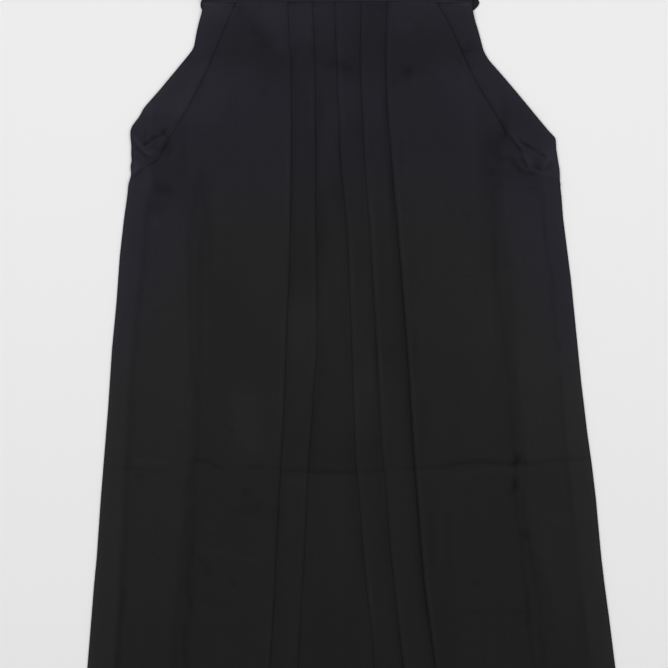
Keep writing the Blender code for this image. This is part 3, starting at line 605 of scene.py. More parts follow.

# A strip of painted light or shade lies between two lines of (down, x): (low, high, tones, width of its soft edges).
SEAM_LEFT = [
    (200, -224), (236, -229), (300, -234), (345, -240), (440, -249), (545, -254), (640, -259), (900, -277),
]  # fmt: skip
SEAM_RIGHT = [(200, 207), (262, 211), (322, 218), (376, 225), (468, 231), (568, 241), (672, 252), (900, 281)]
TUCK_LEFT = [(200, -184), (300, -184), (440, -178), (520, -184), (640, -192), (700, -204), (900, -214)]
TUCK_RIGHT = [
    (200, 158), (250, 168), (300, 174), (400, 178), (480, 185), (540, 188), (600, 199), (660, 220), (900, 238),
]  # fmt: skip
STRIPS = [
    (OUTLINE_LEFT, SEAM_LEFT, [(176, 0.12), (200, 0.32), (250, 0.22), (340, 0.24), (430, 0.38), (600, 0.35),
     (900, 0.32)], 3.5),
    (SEAM_LEFT, TUCK_LEFT, [(190, -0.06), (212, -0.02), (240, 0.09), (320, 0.12), (410, 0.19), (570, 0.18),
     (590, 0.13), (650, 0.12), (690, 0.05), (900, 0.04)], 2.5),
    ([(down, x + 2) for down, x in TUCK_LEFT], [(190, -154), (345, -156), (440, -164), (560, -168), (900, -190)],
     [(180, 0), (196, -0.08), (240, -0.06), (290, -0.04), (320, 0.02), (420, 0.04), (520, 0.02), (570, -0.04),
     (900, 0)], 3),
    ([(80, -178), (150, -215)], [(80, -134), (150, -152)], [(84, 0), (100, 0.13), (124, 0.16), (136, 0.05),
     (144, 0)], 6),
    ([(400, -135), (520, -135)], [(400, -76), (520, -81)], [(410, 0), (435, 0.08), (485, 0.08), (505, 0)], 6),
    ([(138, 152), (168, 172)], [(138, 164), (168, 185)], [(138, 0), (149, -0.22), (158, -0.08), (168, 0)], 3),
    ([(140, -198), (165, -211)], [(140, -190), (165, -202)], [(142, 0), (150, -0.16), (157, -0.14), (165, 0)], 3),
    ([(0, 46), (170, 60)], [(0, 108), (170, 122)], [(36, 0), (60, -0.06), (160, -0.07), (185, 0)], 8),
    ([(120, 136), (320, 140)], [(120, 160), (320, 164)], [(110, 0), (138, -0.1), (160, -0.2), (190, -0.16),
     (230, -0.1), (290, -0.08), (315, 0)], 7),
    (SEAM_RIGHT, OUTLINE_RIGHT, [(186, 0.08), (205, 0.22), (300, 0.16), (350, 0.22), (400, 0.32), (430, 0.38),
     (500, 0.37), (530, 0.3), (570, 0.34), (900, 0.3)], 2.5),
    (TUCK_RIGHT, SEAM_RIGHT, [(190, -0.06), (210, 0.06), (235, 0.11), (330, 0.15), (400, 0.24), (495, 0.21),
     (515, 0.12), (550, 0.14), (600, 0.18), (650, 0.15), (700, 0.06), (900, 0.05)], 5),
    ([(0, 95), (900, 140)], [(130, 152), (200, 152), (300, 150), (400, 160), (900, 200)], [(250, 0), (280, 0.05),
     (360, 0.06), (470, 0.02), (560, 0), (900, 0)], 8),
]  # fmt: skip

# A pleat's fold: the leaf that covers, the one under it and the one that it lies on, which shows on the given
# side. looks holds (down, line, rim, shade), all painted light and shade: how dark the painted shadow line beside
# the fold is, how light the painted highlight on the pressed fold itself, and how dark the painted shade on the
# leaf is for a centimetre beside it. soft and wide say how much painted shade darkens the covering leaf right at
# its fold and for a few centimetres beside it.
Pleat = namedtuple("Pleat", "line side cover under leaf soft wide looks")
PLEATS = [
    Pleat("pleat_a", 1, "main_left", "under_a", "leaf_ab", 0.21, 0, [
        (0, -0.02, 0.05, 0.13), (60, -0.02, -0.04, 0.17), (140, -0.1, 0.09, 0.26), (215, 0.35, 0.18, -0.02),
        (260, 0.07, 0.01, 0.17), (330, 0.3, 0.1, -0.03), (420, -0.11, 0.15, 0.21), (500, 0.04, 0.05, -0.03),
        (560, 0.24, -0.03, 0.09), (610, -0.09, 0.02, 0.16), (720, 0.01, 0.16, 0.08),
    ]),
    Pleat("pleat_b", 1, "leaf_ab", "under_b", "centre", 0.24, 0, [
        (0, 0.04, 0.07, 0), (60, -0.01, -0.06, 0.2), (110, -0.14, 0.14, 0.35), (160, 0.5, -0.01, 0.01),
        (200, 0.4, -0.02, 0.02), (260, -0.27, 0.12, 0.59), (320, 0.22, 0.12, -0.03), (355, -0.22, 0.04, 0.25),
        (400, -0.28, 0.1, 0.31), (445, 0.06, 0.06, 0.21), (520, 0.01, 0.09, 0.13), (620, -0.05, 0.04, 0.08),
        (720, 0.01, -0.01, -0.05),
    ]),
    Pleat("pleat_c", -1, "leaf_cd", "under_c", "centre", 0.12, 0, [
        (0, 0.05, 0.16, -0.04), (40, 0.42, 0.07, -0.05), (65, -0.02, 0.2, 0.01), (110, 0.12, 0.1, 0.09),
        (135, 0.19, 0.12, -0.04), (160, 0.45, 0.06, 0.08), (205, -0.13, 0.05, 0.4), (250, 0.3, 0.17, -0.05),
        (300, 0.17, 0.27, 0.09), (350, -0.27, 0.2, 0.4), (400, 0, 0.05, 0.06), (450, 0.1, 0.18, 0.04),
        (500, -0.16, 0.1, 0.26), (590, 0, 0.1, 0.29), (650, 0.05, 0.25, -0.05), (720, 0.09, -0.04, -0.05),
    ]),
    Pleat("pleat_d", -1, "leaf_de", "under_d", "leaf_cd", 0.17, 0, [
        (0, 0.18, 0.08, 0.04), (50, -0.17, 0.01, 0.35), (110, 0.04, 0.08, 0.2), (160, -0.06, 0.09, 0.24),
        (210, -0.12, 0.15, 0.12), (260, -0.05, 0.24, 0.06), (330, 0.15, 0.28, 0.04), (350, -0.14, 0.13, 0.29),
        (395, 0.47, 0.33, -0.05), (450, -0.05, 0.14, 0.41), (510, -0.14, 0.04, 0.2), (590, -0.02, 0.06, 0.31),
        (640, -0.07, 0.15, 0.18), (690, 0.17, 0.13, 0.12), (720, 0.19, 0.1, 0.08),
    ]),
    Pleat("pleat_e", -1, "main_right", "under_e", "leaf_de", 0.27, 0.12, [
        (0, -0.08, -0.05, 0.13), (50, 0.18, 0.12, -0.05), (90, 0.24, 0.17, -0.01), (115, 0.56, 0.13, -0.05),
        (160, 0.07, 0.08, 0.35), (205, 0.56, 0.17, 0.04), (260, 0.35, 0.21, 0.14), (300, 0.32, 0.16, 0.2),
        (350, 0.32, 0.1, 0.24), (400, 0.21, 0.16, 0.17), (435, 0.25, 0.27, 0.37), (500, 0.22, 0.21, 0.27),
        (560, 0.61, 0.25, 0.05), (620, 0.36, 0.2, 0.26), (660, 0.3, 0.33, 0.35), (720, 0.12, 0.16, 0.15),
    ]),
]  # fmt: skip
PRESSED = {"cover": -1.05, "under": -0.45, "leaf": 0.2}  # how a pressed pleat's leaves close up at its fold
PRESS_LENGTH = 9.0
CREST, CREST_WIDTH = 0.2, 1.1  # painted highlight on the fold's edge above its line
LINE_START, LINE_WIDTH, SHADE_WIDTH = -4, 3.2, 7.0
PRESSED_RIM_IN, SOFT_WIDTH, WIDE_WIDTH = 3.6, 2.2, 14.0


def strip_tone(x, rows):
    tone = np.zeros_like(x)
    for low, high, tones, soft in STRIPS:
        inside = np.minimum(x - between(low, rows), between(high, rows) - x)
        tone += between(tones, rows) * smooth(0.5 + inside / (2 * soft))
    return tone


def pressed(name, lines, x, rows):
    """What the pleats' folds add to the height of a leaf, and their painted shadow and highlight as its tone."""
    rise, tone = np.zeros_like(x), np.zeros_like(x)
    for pleat in PLEATS:
        for role, change in PRESSED.items():
            if getattr(pleat, role) != name:
                continue
            away = pleat.side * (x - getattr(lines, pleat.line)[:, None])
            rise += change * np.exp(-np.abs(away) / PRESS_LENGTH)
            down, *looks = zip(*pleat.looks)
            line, rim, shade = (np.interp(rows, down, look) for look in looks)
            if role == "leaf":
                near = np.maximum(away, 0)
                beside = line * bell(near, LINE_WIDTH) + shade * np.exp(-near / SHADE_WIDTH)
                tone += CREST * bell(away, CREST_WIDTH) - (away > LINE_START) * beside
            elif role == "cover":
                tone += rim * bell(away + PRESSED_RIM_IN, RIM_WIDTH)
                tone -= pleat.soft * bell(away, SOFT_WIDTH) + pleat.wide * np.exp(-np.abs(away) / WIDE_WIDTH)
    return rise, tone


def edge_shade(side, away, rows):
    return between(EDGE_SHADES[side], rows) * bell(away, EDGE_SHADE_WIDTH) * (rows < FOOT_DOWN + 1)


ROLL_WIDTH, ROLL_SHARE, ROLL_BEGINS = 2.3, 0.98, 10.0
OPEN_DROP = 0.35  # how far the front's edge comes down at an opening
OPEN_SINK, OPEN_SINK_LENGTH = 0.45, 8.0  # and how far the cloth beside it lies into the opening


def side_roll(side):
    """A front panel's outer edge rolls down to the floor under it where the side seam is closed, and a little
    over the side pleat where it is open. Where it rolls the cloth gets a painted highlight, with painted shade on
    the very edge and the painted shadow of the opening's edge line."""

    def roll(lines, x, rows, z, tone):
        inside = np.abs(x - getattr(lines, f"edge_{side}")[:, None])
        closed = smooth((rows - FOOT_DOWN) / ROLL_BEGINS)
        drop = 1 - np.sqrt(1 - (ROLL_SHARE * np.clip(1 - inside / ROLL_WIDTH, 0, 1)) ** 2)
        down_to = np.maximum(z - HALF, 0) * closed + OPEN_DROP * (1 - closed)
        flush = OPEN_SINK * (1 - closed) * np.exp(-inside / OPEN_SINK_LENGTH)
        # painted highlight beside the rolled edge, and painted shade on its last millimetre
        painted_light = ROLLED_HIGHLIGHT * np.exp(-inside / ROLLED_HIGHLIGHT_LENGTH) - ROLLED_RIM[side] * bell(inside, RIM_WIDTH)
        painted_light *= smooth((rows - FOOT_DOWN + 4) / ROLL_BEGINS)
        return z - drop * down_to - flush, tone + painted_light - FRONT_SHADE * edge_shade(side, inside, rows)

    return roll


# Walls of cloth ----------------------------------------------------------------------------------------------

NEAR_EDGE = np.array([0.0, 0.35, 0.8, 1.5, 2.6, 4.2, 6.5])  # columns beside a visible edge or fold
ARC = (-68, -45, -22, 0, 22, 45, 68)  # degrees round a fold
EDGE_THIN = (0.35, 0.75, 1.0)  # share of the thickness at an edge's first columns
THINNEST = 0.02
END_THIN, END_LENGTH = 0.4, 1.2  # cloth thins over its last millimetre, so that a hem's end is round
ROW_STEP = 4.6
ROW_STEPS = (  # steps down where there are small creases: from, to, step
    (-math.inf, 6, 0.9), (138, 194, 1.7), (496, 526, 1.5), (868, 877, 1.4), (895, math.inf, 1.4),
)  # fmt: skip


def rows_between(first, last):
    """Distances down, closer together where there are small creases."""
    rows, down = [], first
    while down < last - 0.3:
        rows.append(down)
        down += next((step for start, end, step in ROW_STEPS if start < down < end), ROW_STEP)
    return np.array(rows + [last])


def columns(low, high, count, fine_low=True, fine_high=True):
    """x of each column at each row: close together beside the edges that show, evenly spaced between."""
    limit = np.minimum(1.0, (high - low) / (4 * NEAR_EDGE[-1]))
    start, stop = (NEAR_EDGE if fine else NEAR_EDGE[:1] for fine in (fine_low, fine_high))
    near_low = [low + offset * limit for offset in start]
    near_high = [high - offset * limit for offset in stop[::-1]]
    gap = near_high[0] - near_low[-1]
    middle = [near_low[-1] + gap * k / (count + 1) for k in range(1, count + 1)]
    return np.stack(near_low + middle + near_high, axis=1)


def spread(down, x):
    """Each row's distance down, at each of its columns."""
    return np.repeat(down[:, None], x.shape[1], axis=1)


class Run:
    """One leaf of a folded wall, in order from where the wall enters it: its middle surface along x, with the
    share of the thickness at each column and how far each point sways off its row."""

    def __init__(self, x, z, tone, heading, thin=1.0, sway=0.0):
        self.heading = heading
        self.x, self.z, self.tone, self.thin, self.sway = (
            np.broadcast_to(field, x.shape)[:, ::heading] for field in (x, z, tone, thin, sway)
        )


def folded_wall(runs, rows, thickness, fold_depth, place, rounding=None):
    """Points of the wall's two sides and their tones, at each row; place puts (along, z, row) in millimetres.
    rounding is the share of the thickness at each row, where the rows' ends don't simply thin out."""
    half = thickness / 2
    from_end = np.minimum(rows - rows[0], rows[-1] - rows)
    ends = np.clip(END_THIN + from_end / END_LENGTH, 0, 1) if rounding is None else rounding
    fold_half = half if rounding is None else half * rounding
    sides, tones = [], []
    for number, run in enumerate(runs):
        for k in range(run.x.shape[1]):
            reach = run.heading * half * run.thin[:, k] * ends
            across = rows + run.sway[:, k]
            sides.append([place(run.x[:, k], run.z[:, k] + sign * reach, across) for sign in (1, -1)])
            tones.append(run.tone[:, k])
        if number + 1 == len(runs):
            break
        x, z_from, z_to = run.x[:, -1], run.z[:, -1], runs[number + 1].z[:, 0]
        rise = np.sign(z_to - z_from)
        centre, radius = (z_from + z_to) / 2, np.abs(z_to - z_from) / 2
        for angle in np.radians(ARC):
            made = []
            for depth, size in ((fold_depth, fold_half), (fold_depth - thickness, -fold_half)):
                z = centre + rise * np.maximum(radius + size, THINNEST) * math.sin(angle)
                made.append(place(x + run.heading * depth * math.cos(angle), z, across))
            sides.append(made if run.heading == -rise[0] else made[::-1])
            tones.append(run.tone[:, -1] + FOLD_HIGHLIGHT * math.cos(angle))
    return *(np.stack(side, axis=1) for side in zip(*sides)), np.stack(tones, axis=1)


def garment_place(x, z, down):
    return np.stack([x, WAIST_Y - down, z], axis=-1)


def quad_object(name, points, quads, tones):
    """A smooth-shaded piece of quads; points in mm. It rides on the garment's body and keeps its tones."""
    mesh = bpy.data.meshes.new(name)
    mesh.vertices.add(len(points))
    mesh.vertices.foreach_set("co", (points * MM).astype(np.float32).ravel())
    mesh.loops.add(4 * len(quads))
    mesh.loops.foreach_set("vertex_index", np.asarray(quads, np.int32).ravel())
    mesh.polygons.add(len(quads))
    mesh.polygons.foreach_set("loop_start", np.arange(0, 4 * len(quads), 4, dtype=np.int32))
    mesh.update(calc_edges=True)
    mesh.validate()
    mesh.shade_smooth()
    mesh.attributes.new("tone", "FLOAT", "POINT").data.foreach_set("value", np.asarray(tones, np.float32))
    mesh.materials.append(
        bpy.data.materials.get(MATERIAL) or cloth_material(bpy.context.scene.hakama_colours)
    )
    piece = bpy.data.objects.new(name, mesh)
    bpy.context.scene.collection.objects.link(piece)
    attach(piece, BODY)
    return piece


def wall_object(name, first_side, second_side, tones):
    """Closes a wall's two sides into one body. Sides are (rows, columns, 3)."""
    rows, count = first_side.shape[:2]
    points = np.concatenate([first_side, second_side[:, ::-1]], axis=1).reshape(-1, 3)
    at = np.arange(len(points)).reshape(rows, 2 * count)
    after = np.roll(at, -1, axis=1)
    quads = [np.stack([at[:-1], at[1:], after[1:], after[:-1]], axis=-1).reshape(-1, 4)]
    for ring, order in ((at[0], 1), (at[-1], -1)):
        back = ring[::-1]
        quads.append(
            np.stack([ring[: count - 1], ring[1:count], back[1:count], back[: count - 1]], axis=-1)[:, ::order]
        )
    quads = np.concatenate(quads)
    corner = points[quads]
    outward = np.cross(corner[:, 2] - corner[:, 0], corner[:, 3] - corner[:, 1])
    if (corner.mean(1) * outward).sum() < 0:
        quads = quads[:, ::-1]
    return quad_object(name, points, quads, np.concatenate([tones, tones[:, ::-1]], axis=1).ravel())


CORNER_POINTS, CORNER_ROOM = 8, 1.2


def rounded_outline(corners, samples):
    """A closed outline with round corners; corners are (x, y, radius). Points are closer at the corners."""
    made = []
    for k, (x, y, radius) in enumerate(corners):
        following = corners[(k + 1) % len(corners)]
        here = np.array([x, y])
        before, after = np.array(corners[k - 1][:2]) - here, np.array(following[:2]) - here
        length = np.linalg.norm(after)
        before, after = before / np.linalg.norm(before), after / length
        half = math.acos(np.clip(before @ after, -1, 1)) / 2
        setback = radius / math.tan(half)
        middle = here + (before + after) / np.linalg.norm(before + after) * radius / math.sin(half)
        start, end = here + before * setback - middle, here + after * setback - middle
        turn = math.atan2(start[0] * end[1] - start[1] * end[0], start @ end)
        for angle in turn * np.linspace(0, 1, CORNER_POINTS):
            cos, sin = math.cos(angle), math.sin(angle)
            made.append(middle + np.array([start[0] * cos - start[1] * sin, start[0] * sin + start[1] * cos]))
        line = (here + after * setback, here + after * (length - following[2] * CORNER_ROOM))
        made += [line[0] + (line[1] - line[0]) * t for t in np.linspace(0, 1, samples + 2)[1:-1]]
    return np.array(made)


def ring_object(name, rings, tones):
    """A closed body through rings of equal length, its two ends filled with fans of quads to a middle line."""
    count = len(rings[0])
    at = np.arange(len(rings) * count).reshape(len(rings), count)
    after = np.roll(at, -1, axis=1)
    quads = [np.stack([at[:-1], after[:-1], after[1:], at[1:]], axis=-1).reshape(-1, 4)]
    k = np.arange(count // 2 - 1)
    for ring, order in ((at[0], -1), (at[-1], 1)):
        cap = np.stack([ring[k], ring[k + 1], ring[count - 2 - k], ring[count - 1 - k]], axis=-1)
        quads.append(cap[:, ::order])
    return quad_object(name, np.concatenate(rings), np.concatenate(quads), np.repeat(tones, count))


# Shader expressions ------------------------------------------------------------------------------------------


class Value:
    """A shader socket in a sum: expressions of values and numbers add Math nodes."""

    def __init__(self, tree, socket):
        self.tree, self.socket = tree, socket

    def math(self, operation, first, second):
        return self.tree.node("ShaderNodeMath", {"operation": operation}, {0: first, 1: second})

    def __abs__(self):
        return self.tree.node("ShaderNodeMath", {"operation": "ABSOLUTE"}, {0: self})

    def __add__(self, other):
        return self.math("ADD", self, other)

    def __sub__(self, other):
        return self.math("SUBTRACT", self, other)

    def __rsub__(self, other):
        return self.math("SUBTRACT", other, self)

    def __mul__(self, other):
        return self.math("MULTIPLY", self, other)

    __radd__, __rmul__ = __add__, __mul__


class ShaderTree:
    """A material's nodes, added one call at a time."""

    def __init__(self, name):
        self.material = bpy.data.materials.new(name)
        self.material.use_nodes = True
        self.nodes = self.material.node_tree.nodes
        self.shader = self.nodes["Principled BSDF"]

    def fill(self, node, inputs):
        for key, value in inputs.items():
            if isinstance(value, Value):
                self.material.node_tree.links.new(value.socket, node.inputs[key])
            else:
                node.inputs[key].default_value = value

    def node(self, kind, settings=None, inputs=None, output=0):
        """Adds a node of this kind: its settings first, then the values or links of its inputs."""
        node = self.nodes.new(kind)
        for key, value in (settings or {}).items():
            setattr(node, key, value)
        self.fill(node, inputs or {})
        return Value(self, node.outputs[output])

    def surface(self, **inputs):
        self.fill(self.shader, {key.replace("_", " "): value for key, value in inputs.items()})


CAST_DOWN = (320, 110)  # the painted sheen's violet cast fades in between these distances below the waist
CAST_LOWER = {1: 0.145, 2: 0.25, 3: 0.0, 4: 0.175}  # and lower at the sides: x from and to, and how far, in metres
MIDDLE_X = -0.01  # where the cast is symmetrical, in metres
THREAD_STRETCH = 14  # how much longer a thread's marks are than they are wide
MOTTLE, MOTTLE_TONE, MOTTLE_ROUGHNESS = {"Scale": 26.0, "Detail": 3.0}, 0.1, 0.1
STREAKS, STREAK_TONE = (90.0, 5.0, 2.0), 0.1
WEAVE_ROUGHNESS, WEAVE_BUMP = 0.2, {"Strength": 0.35, "Distance": 0.00025}


def cloth_material(colours):
    """Matt black twill: threads both ways, soft mottling, the tone attribute's painted light and shade, and a
    painted violet sheen near the waist.
    """
    tree = ShaderTree(MATERIAL)
    place = tree.node("ShaderNodeTexCoord", output="Object")

    def threads(across, along, detail):
        stretched = tree.node("ShaderNodeMapping", inputs={"Vector": place, "Scale": (across, along, across)})
        return tree.node("ShaderNodeTexNoise", inputs={"Vector": stretched, "Scale": 1.0, "Detail": detail})

    fine, long = 1000 / colours.thread_pitch, 1000 / (colours.thread_pitch * THREAD_STRETCH)
    weave = threads(fine, long, 1.0) + threads(long, fine, 1.0) - 1.0
    mottle = tree.node("ShaderNodeTexNoise", inputs={"Vector": place, **MOTTLE}) - 0.5
    streaks = threads(*STREAKS) - 0.5
    tone = tree.node("ShaderNodeAttribute", {"attribute_name": "tone"}, output="Fac")
    shade = (tone + 1.0) * (weave * colours.weave_tone + mottle * MOTTLE_TONE + streaks * STREAK_TONE + 1.0)
    x, y = (tree.node("ShaderNodeSeparateXYZ", inputs={0: place}, output=axis) for axis in (0, 1))
    low, high = ((WAIST_Y - down) * MM for down in CAST_DOWN)
    near_waist = tree.node(
        "ShaderNodeMapRange", {"interpolation_type": "SMOOTHSTEP"},
        {0: y + tree.node("ShaderNodeMapRange", inputs={0: abs(x - MIDDLE_X), **CAST_LOWER}), 1: low, 2: high},
    )  # fmt: skip
    # painted sheen: near the waist the cloth takes the violet cast of the cool light that it reflects
    cloth_with_painted_sheen = tree.node(
        "ShaderNodeMix", {"data_type": "RGBA"}, {0: near_waist, 6: (*colours.cloth, 1), 7: (*colours.cast, 1)}, 2
    )
    tree.surface(
        Base_Color=tree.node("ShaderNodeVectorMath", {"operation": "SCALE"}, {0: cloth_with_painted_sheen, "Scale": shade}),
        Roughness=(weave * WEAVE_ROUGHNESS + mottle * MOTTLE_ROUGHNESS) + colours.roughness,
        Specular_IOR_Level=colours.specular,
        Sheen_Weight=colours.sheen,
        Sheen_Roughness=0.45,
        Normal=tree.node("ShaderNodeBump", inputs={"Height": weave, **WEAVE_BUMP}),
    )
    return tree.material


# Panels and ties ---------------------------------------------------------------------------------------------


def fold_depth():
    """How far a pleat's fold stands out past its leaves."""
    return bpy.context.scene.hakama_sizes.fold_depth / MM


def leaf(name, down, heading, count, fine=(False, False), folds=(True, True), roll=None):
    """A leaf of the stack as a Run, with count evenly spaced columns. fine says beside which of its low and high
    edges they get closer, folds which of the two turn into another leaf, and roll changes its outer edge."""
    part, lines, depth = LAYERS[name], Lines(down), fold_depth()
    low, high = lines.at(part.low) + depth * folds[0], lines.at(part.high) - depth * folds[1]
    x = columns(low, high, count, *fine)
    rows = spread(down, x)
    rise, tone = crease_fields(x, rows)
    pressed_rise, pressed_tone = pressed(name, lines, x, rows)
    z = height(part.level, x, rows) + np.maximum(rise + wave_rise(x, rows), DEEPEST) + pressed_rise
    tone += strip_tone(x, rows) + pressed_tone + between(PAINTED_FALLOFF, rows) + between(LEAF_TONES.get(name, [(0, 0)]), rows)
    if roll is not None:
        z, tone = roll(lines, x, rows, z, tone)
    thin = np.ones(x.shape[1])
    if fine[0] and not folds[0]:
        thin[: len(EDGE_THIN)] = EDGE_THIN
    if fine[1] and not folds[1]:
        thin[-len(EDGE_THIN) :] = EDGE_THIN[::-1]
    return Run(x, z, tone, heading, thin)


def panel(name, runs, down, stands_for):
    """Makes a panel from its leaves, and hides the solid that it stands for."""
    thickness = bpy.context.scene.hakama_sizes.cloth / MM
    piece = wall_object(name, *folded_wall(runs, down, thickness, fold_depth(), garment_place))
    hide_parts(stands_for)
    widths = sum(np.abs(run.x[:, -1] - run.x[:, 0]) for run in runs)


TIE_COLUMNS = np.array([0, 0.4, 1.1, 1.9, 2.5, 3.1, 5.5, 9.5])  # columns in from an edge
TIE_SAMPLES = 44
TIE_FOLD = 2.2
STITCH_IN, STITCH_WIDTH, STITCH_LENGTH = 2.5, 0.5, 3.1
STITCH_TONE = -0.14
TIE_CROWN, STITCH_DEPTH, STITCH_PUCKER = 0.12, 0.1, 0.03
TIE_WAVES = ((0.1, 23, 1.7), (0.05, 9.7, 1))  # height, length and how the seed shifts each
TIE_SWAYS = ((1, 53, 1), (0.4, 19, 0))  # the same sideways
TIE_MOTTLE, TIE_MOTTLE_LENGTH = 0.03, 31
# the tie is a little lighter along its edges
TIE_EDGE_TONE, TIE_EDGE_TONE_LENGTH = 0.1, 0.8
TIE_EDGE, TIE_EDGE_RISE = 0.45, 0.55  # share of the thickness at a tie's very edge, and how it grows inwards
ASKEW = 1.0  # how far one run of a tie may lie beside the next


def tie(node, heights, start, turns, edges, place, seed, lowest):
    """A long flat tie folded to and fro into a hank, each run lying a little askew on the next."""
    random = np.random.default_rng(seed)
    thickness = bpy.context.scene.hakama_sizes.tie_cloth / MM
    low, high = edges
    across = np.concatenate([low + TIE_COLUMNS, [(low + high) / 2], (high - TIE_COLUMNS)[::-1]])
    from_edge = np.minimum(across - low, high - across)[:, None]
    stitched = bell(from_edge - STITCH_IN, STITCH_WIDTH)
    crown = TIE_CROWN * np.sin(np.pi * (across - low) / (high - low))[:, None] - STITCH_DEPTH * stitched
    runs, length, begin, beside = [], 0.0, start, 0.0
    for number, z in enumerate(heights):
        end = turns[number % 2]
        heading = 1 if end > begin else -1
        first = begin + heading * TIE_FOLD * (number > 0)
        last = end - heading * TIE_FOLD * (number + 1 < len(heights))
        line = np.linspace(min(first, last), max(first, last), TIE_SAMPLES)
        along = np.repeat(line[None, :], len(across), axis=0)
        waves = sum(size * np.sin(along / wave + shift * seed) for size, wave, shift in TIE_WAVES)
        puckers = STITCH_PUCKER * np.sin(along * 2 * np.pi / STITCH_LENGTH) * stitched
        tone = TIE_MOTTLE * np.sin(along / TIE_MOTTLE_LENGTH + number + seed) + STITCH_TONE * stitched
        tone += TIE_EDGE_TONE * np.exp(-from_edge / TIE_EDGE_TONE_LENGTH)
        before, beside = beside, random.uniform(-ASKEW, ASKEW) if number else 0.0
        sway = sum(size * np.sin((along - start) / wave + shift * seed) for size, wave, shift in TIE_SWAYS)
        sway += before + (beside - before) * smooth(np.linspace(0, 1, TIE_SAMPLES))[::heading] - math.sin(seed)
        z_lying = np.maximum(z + waves + crown + puckers, lowest + thickness / 2 + THINNEST)
        runs.append(Run(along, z_lying, tone, heading, sway=sway))
        length += abs(end - begin)
        begin = end
    rounding = np.clip(TIE_EDGE + TIE_EDGE_RISE * from_edge[:, 0], 0, 1)
    piece = wall_object(f"{node}_cloth", *folded_wall(runs, across, thickness, TIE_FOLD, place, rounding))
    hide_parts(node)
    (high - low) * MM
    length * MM


# Properties --------------------------------------------------------------------------------------------------

LENGTH = {"unit": "LENGTH", "precision": 4}
SHARE = {"min": 0, "max": 1, "subtype": "FACTOR"}


def slider(name, description, default, **more):
    return bpy.props.FloatProperty(name=name, description=description, default=default, **more)


def vector(name, description, default, **more):
    return bpy.props.FloatVectorProperty(
        name=name, description=description, default=default, size=len(default), **more
    )


def colour(name, description, default):
    return vector(name, description, default, subtype="COLOR", min=0, max=1)


class HakamaSizes(bpy.types.PropertyGroup):
    cloth: slider("Cloth", "Thickness of the panels' cloth", 0.0006, **LENGTH)
    tie_cloth: slider("Tie", "Thickness of a tie, two layers sewn together", 0.0009, **LENGTH)
    fold_depth: slider("Fold depth", "How far a pleat's fold stands out past its leaves", 0.0012, **LENGTH)


class HakamaColours(bpy.types.PropertyGroup):
    cloth: colour("Cloth", "Colour of the black cloth", (0.0117, 0.0117, 0.0117))
    # the cast is a painted sheen: the cool light that the cloth reflects near the waist
    cast: colour("Cast", "Colour of the dye's violet cast, near the waist", (0.0123, 0.0116, 0.0163))
    roughness: slider("Roughness", "Roughness of the cloth", 0.62, **SHARE)
    specular: slider("Specular", "Shine of the threads", 0.07, **SHARE)
    sheen: slider("Sheen", "Light caught by the nap at glancing angles", 0.02, **SHARE)
    thread_pitch: slider("Thread pitch", "Distance between threads, in millimetres", 0.8, min=0.1, max=5)
    weave_tone: slider("Weave tone", "How much the threads differ in tone", 0.35, **SHARE)
    floor: colour("Floor", "Colour of the pale ground", (0.82, 0.82, 0.82))


class HakamaStage(bpy.types.PropertyGroup):
    camera_height: slider("Camera height", "Height of the camera over the ground", 3.0, unit="LENGTH")
    view_width: slider("View width", "Width of the ground that the camera takes in", 0.7348, unit="LENGTH")
    view_centre: vector(
        "View centre", "Point of the ground under the camera", (-0.0223, -0.0531), subtype="XYZ", unit="LENGTH"
    )


# Operators ---------------------------------------------------------------------------------------------------

SIDES = (("left", 1), ("right", -1))  # each side, and its way towards the middle
BACK_CREASES, BACK_CREASES_MOST, BACK_WAVES = -0.6, 0.2, 0.15  # the back's share of the front's relief
BACK_SINK = 0.07  # and how far it lies below its layer's height, so that the waves stay under the next one
BAND_COLUMNS = 170
BAND_CLOTH = 0.7
BAND_DROPS = np.array([0, 0.5, 1.2, 2.4, 4, 7, 11, 15, 19, 22, 23.5, 24.8])  # rows above the band's lower edge
BAND_WAVE, BAND_WAVE_LENGTH = 0.12, 17.0
BAND_STITCH_UP, BAND_STITCH_WIDTH, BAND_STITCH_DEPTH = 2.6, 0.9, 0.18
BAND_EDGE, BAND_EDGE_DROP = 1.6, 0.3
BAND_TONE, LIP_HIGHLIGHT, LIP_WIDTH, LIP_SOFT = 0.02, 0.66, 1.1, 0.9  # the lip is the band's lower edge, painted lighter as a highlight against the shadow of its step
BAND_ENDS, BAND_END_TONE, BAND_END_SOFT = (-125, 80), 0.22, 20  # past these x the band is lighter


def at_waist(line):
    return float(getattr(Lines(np.zeros(1)), line)[0])


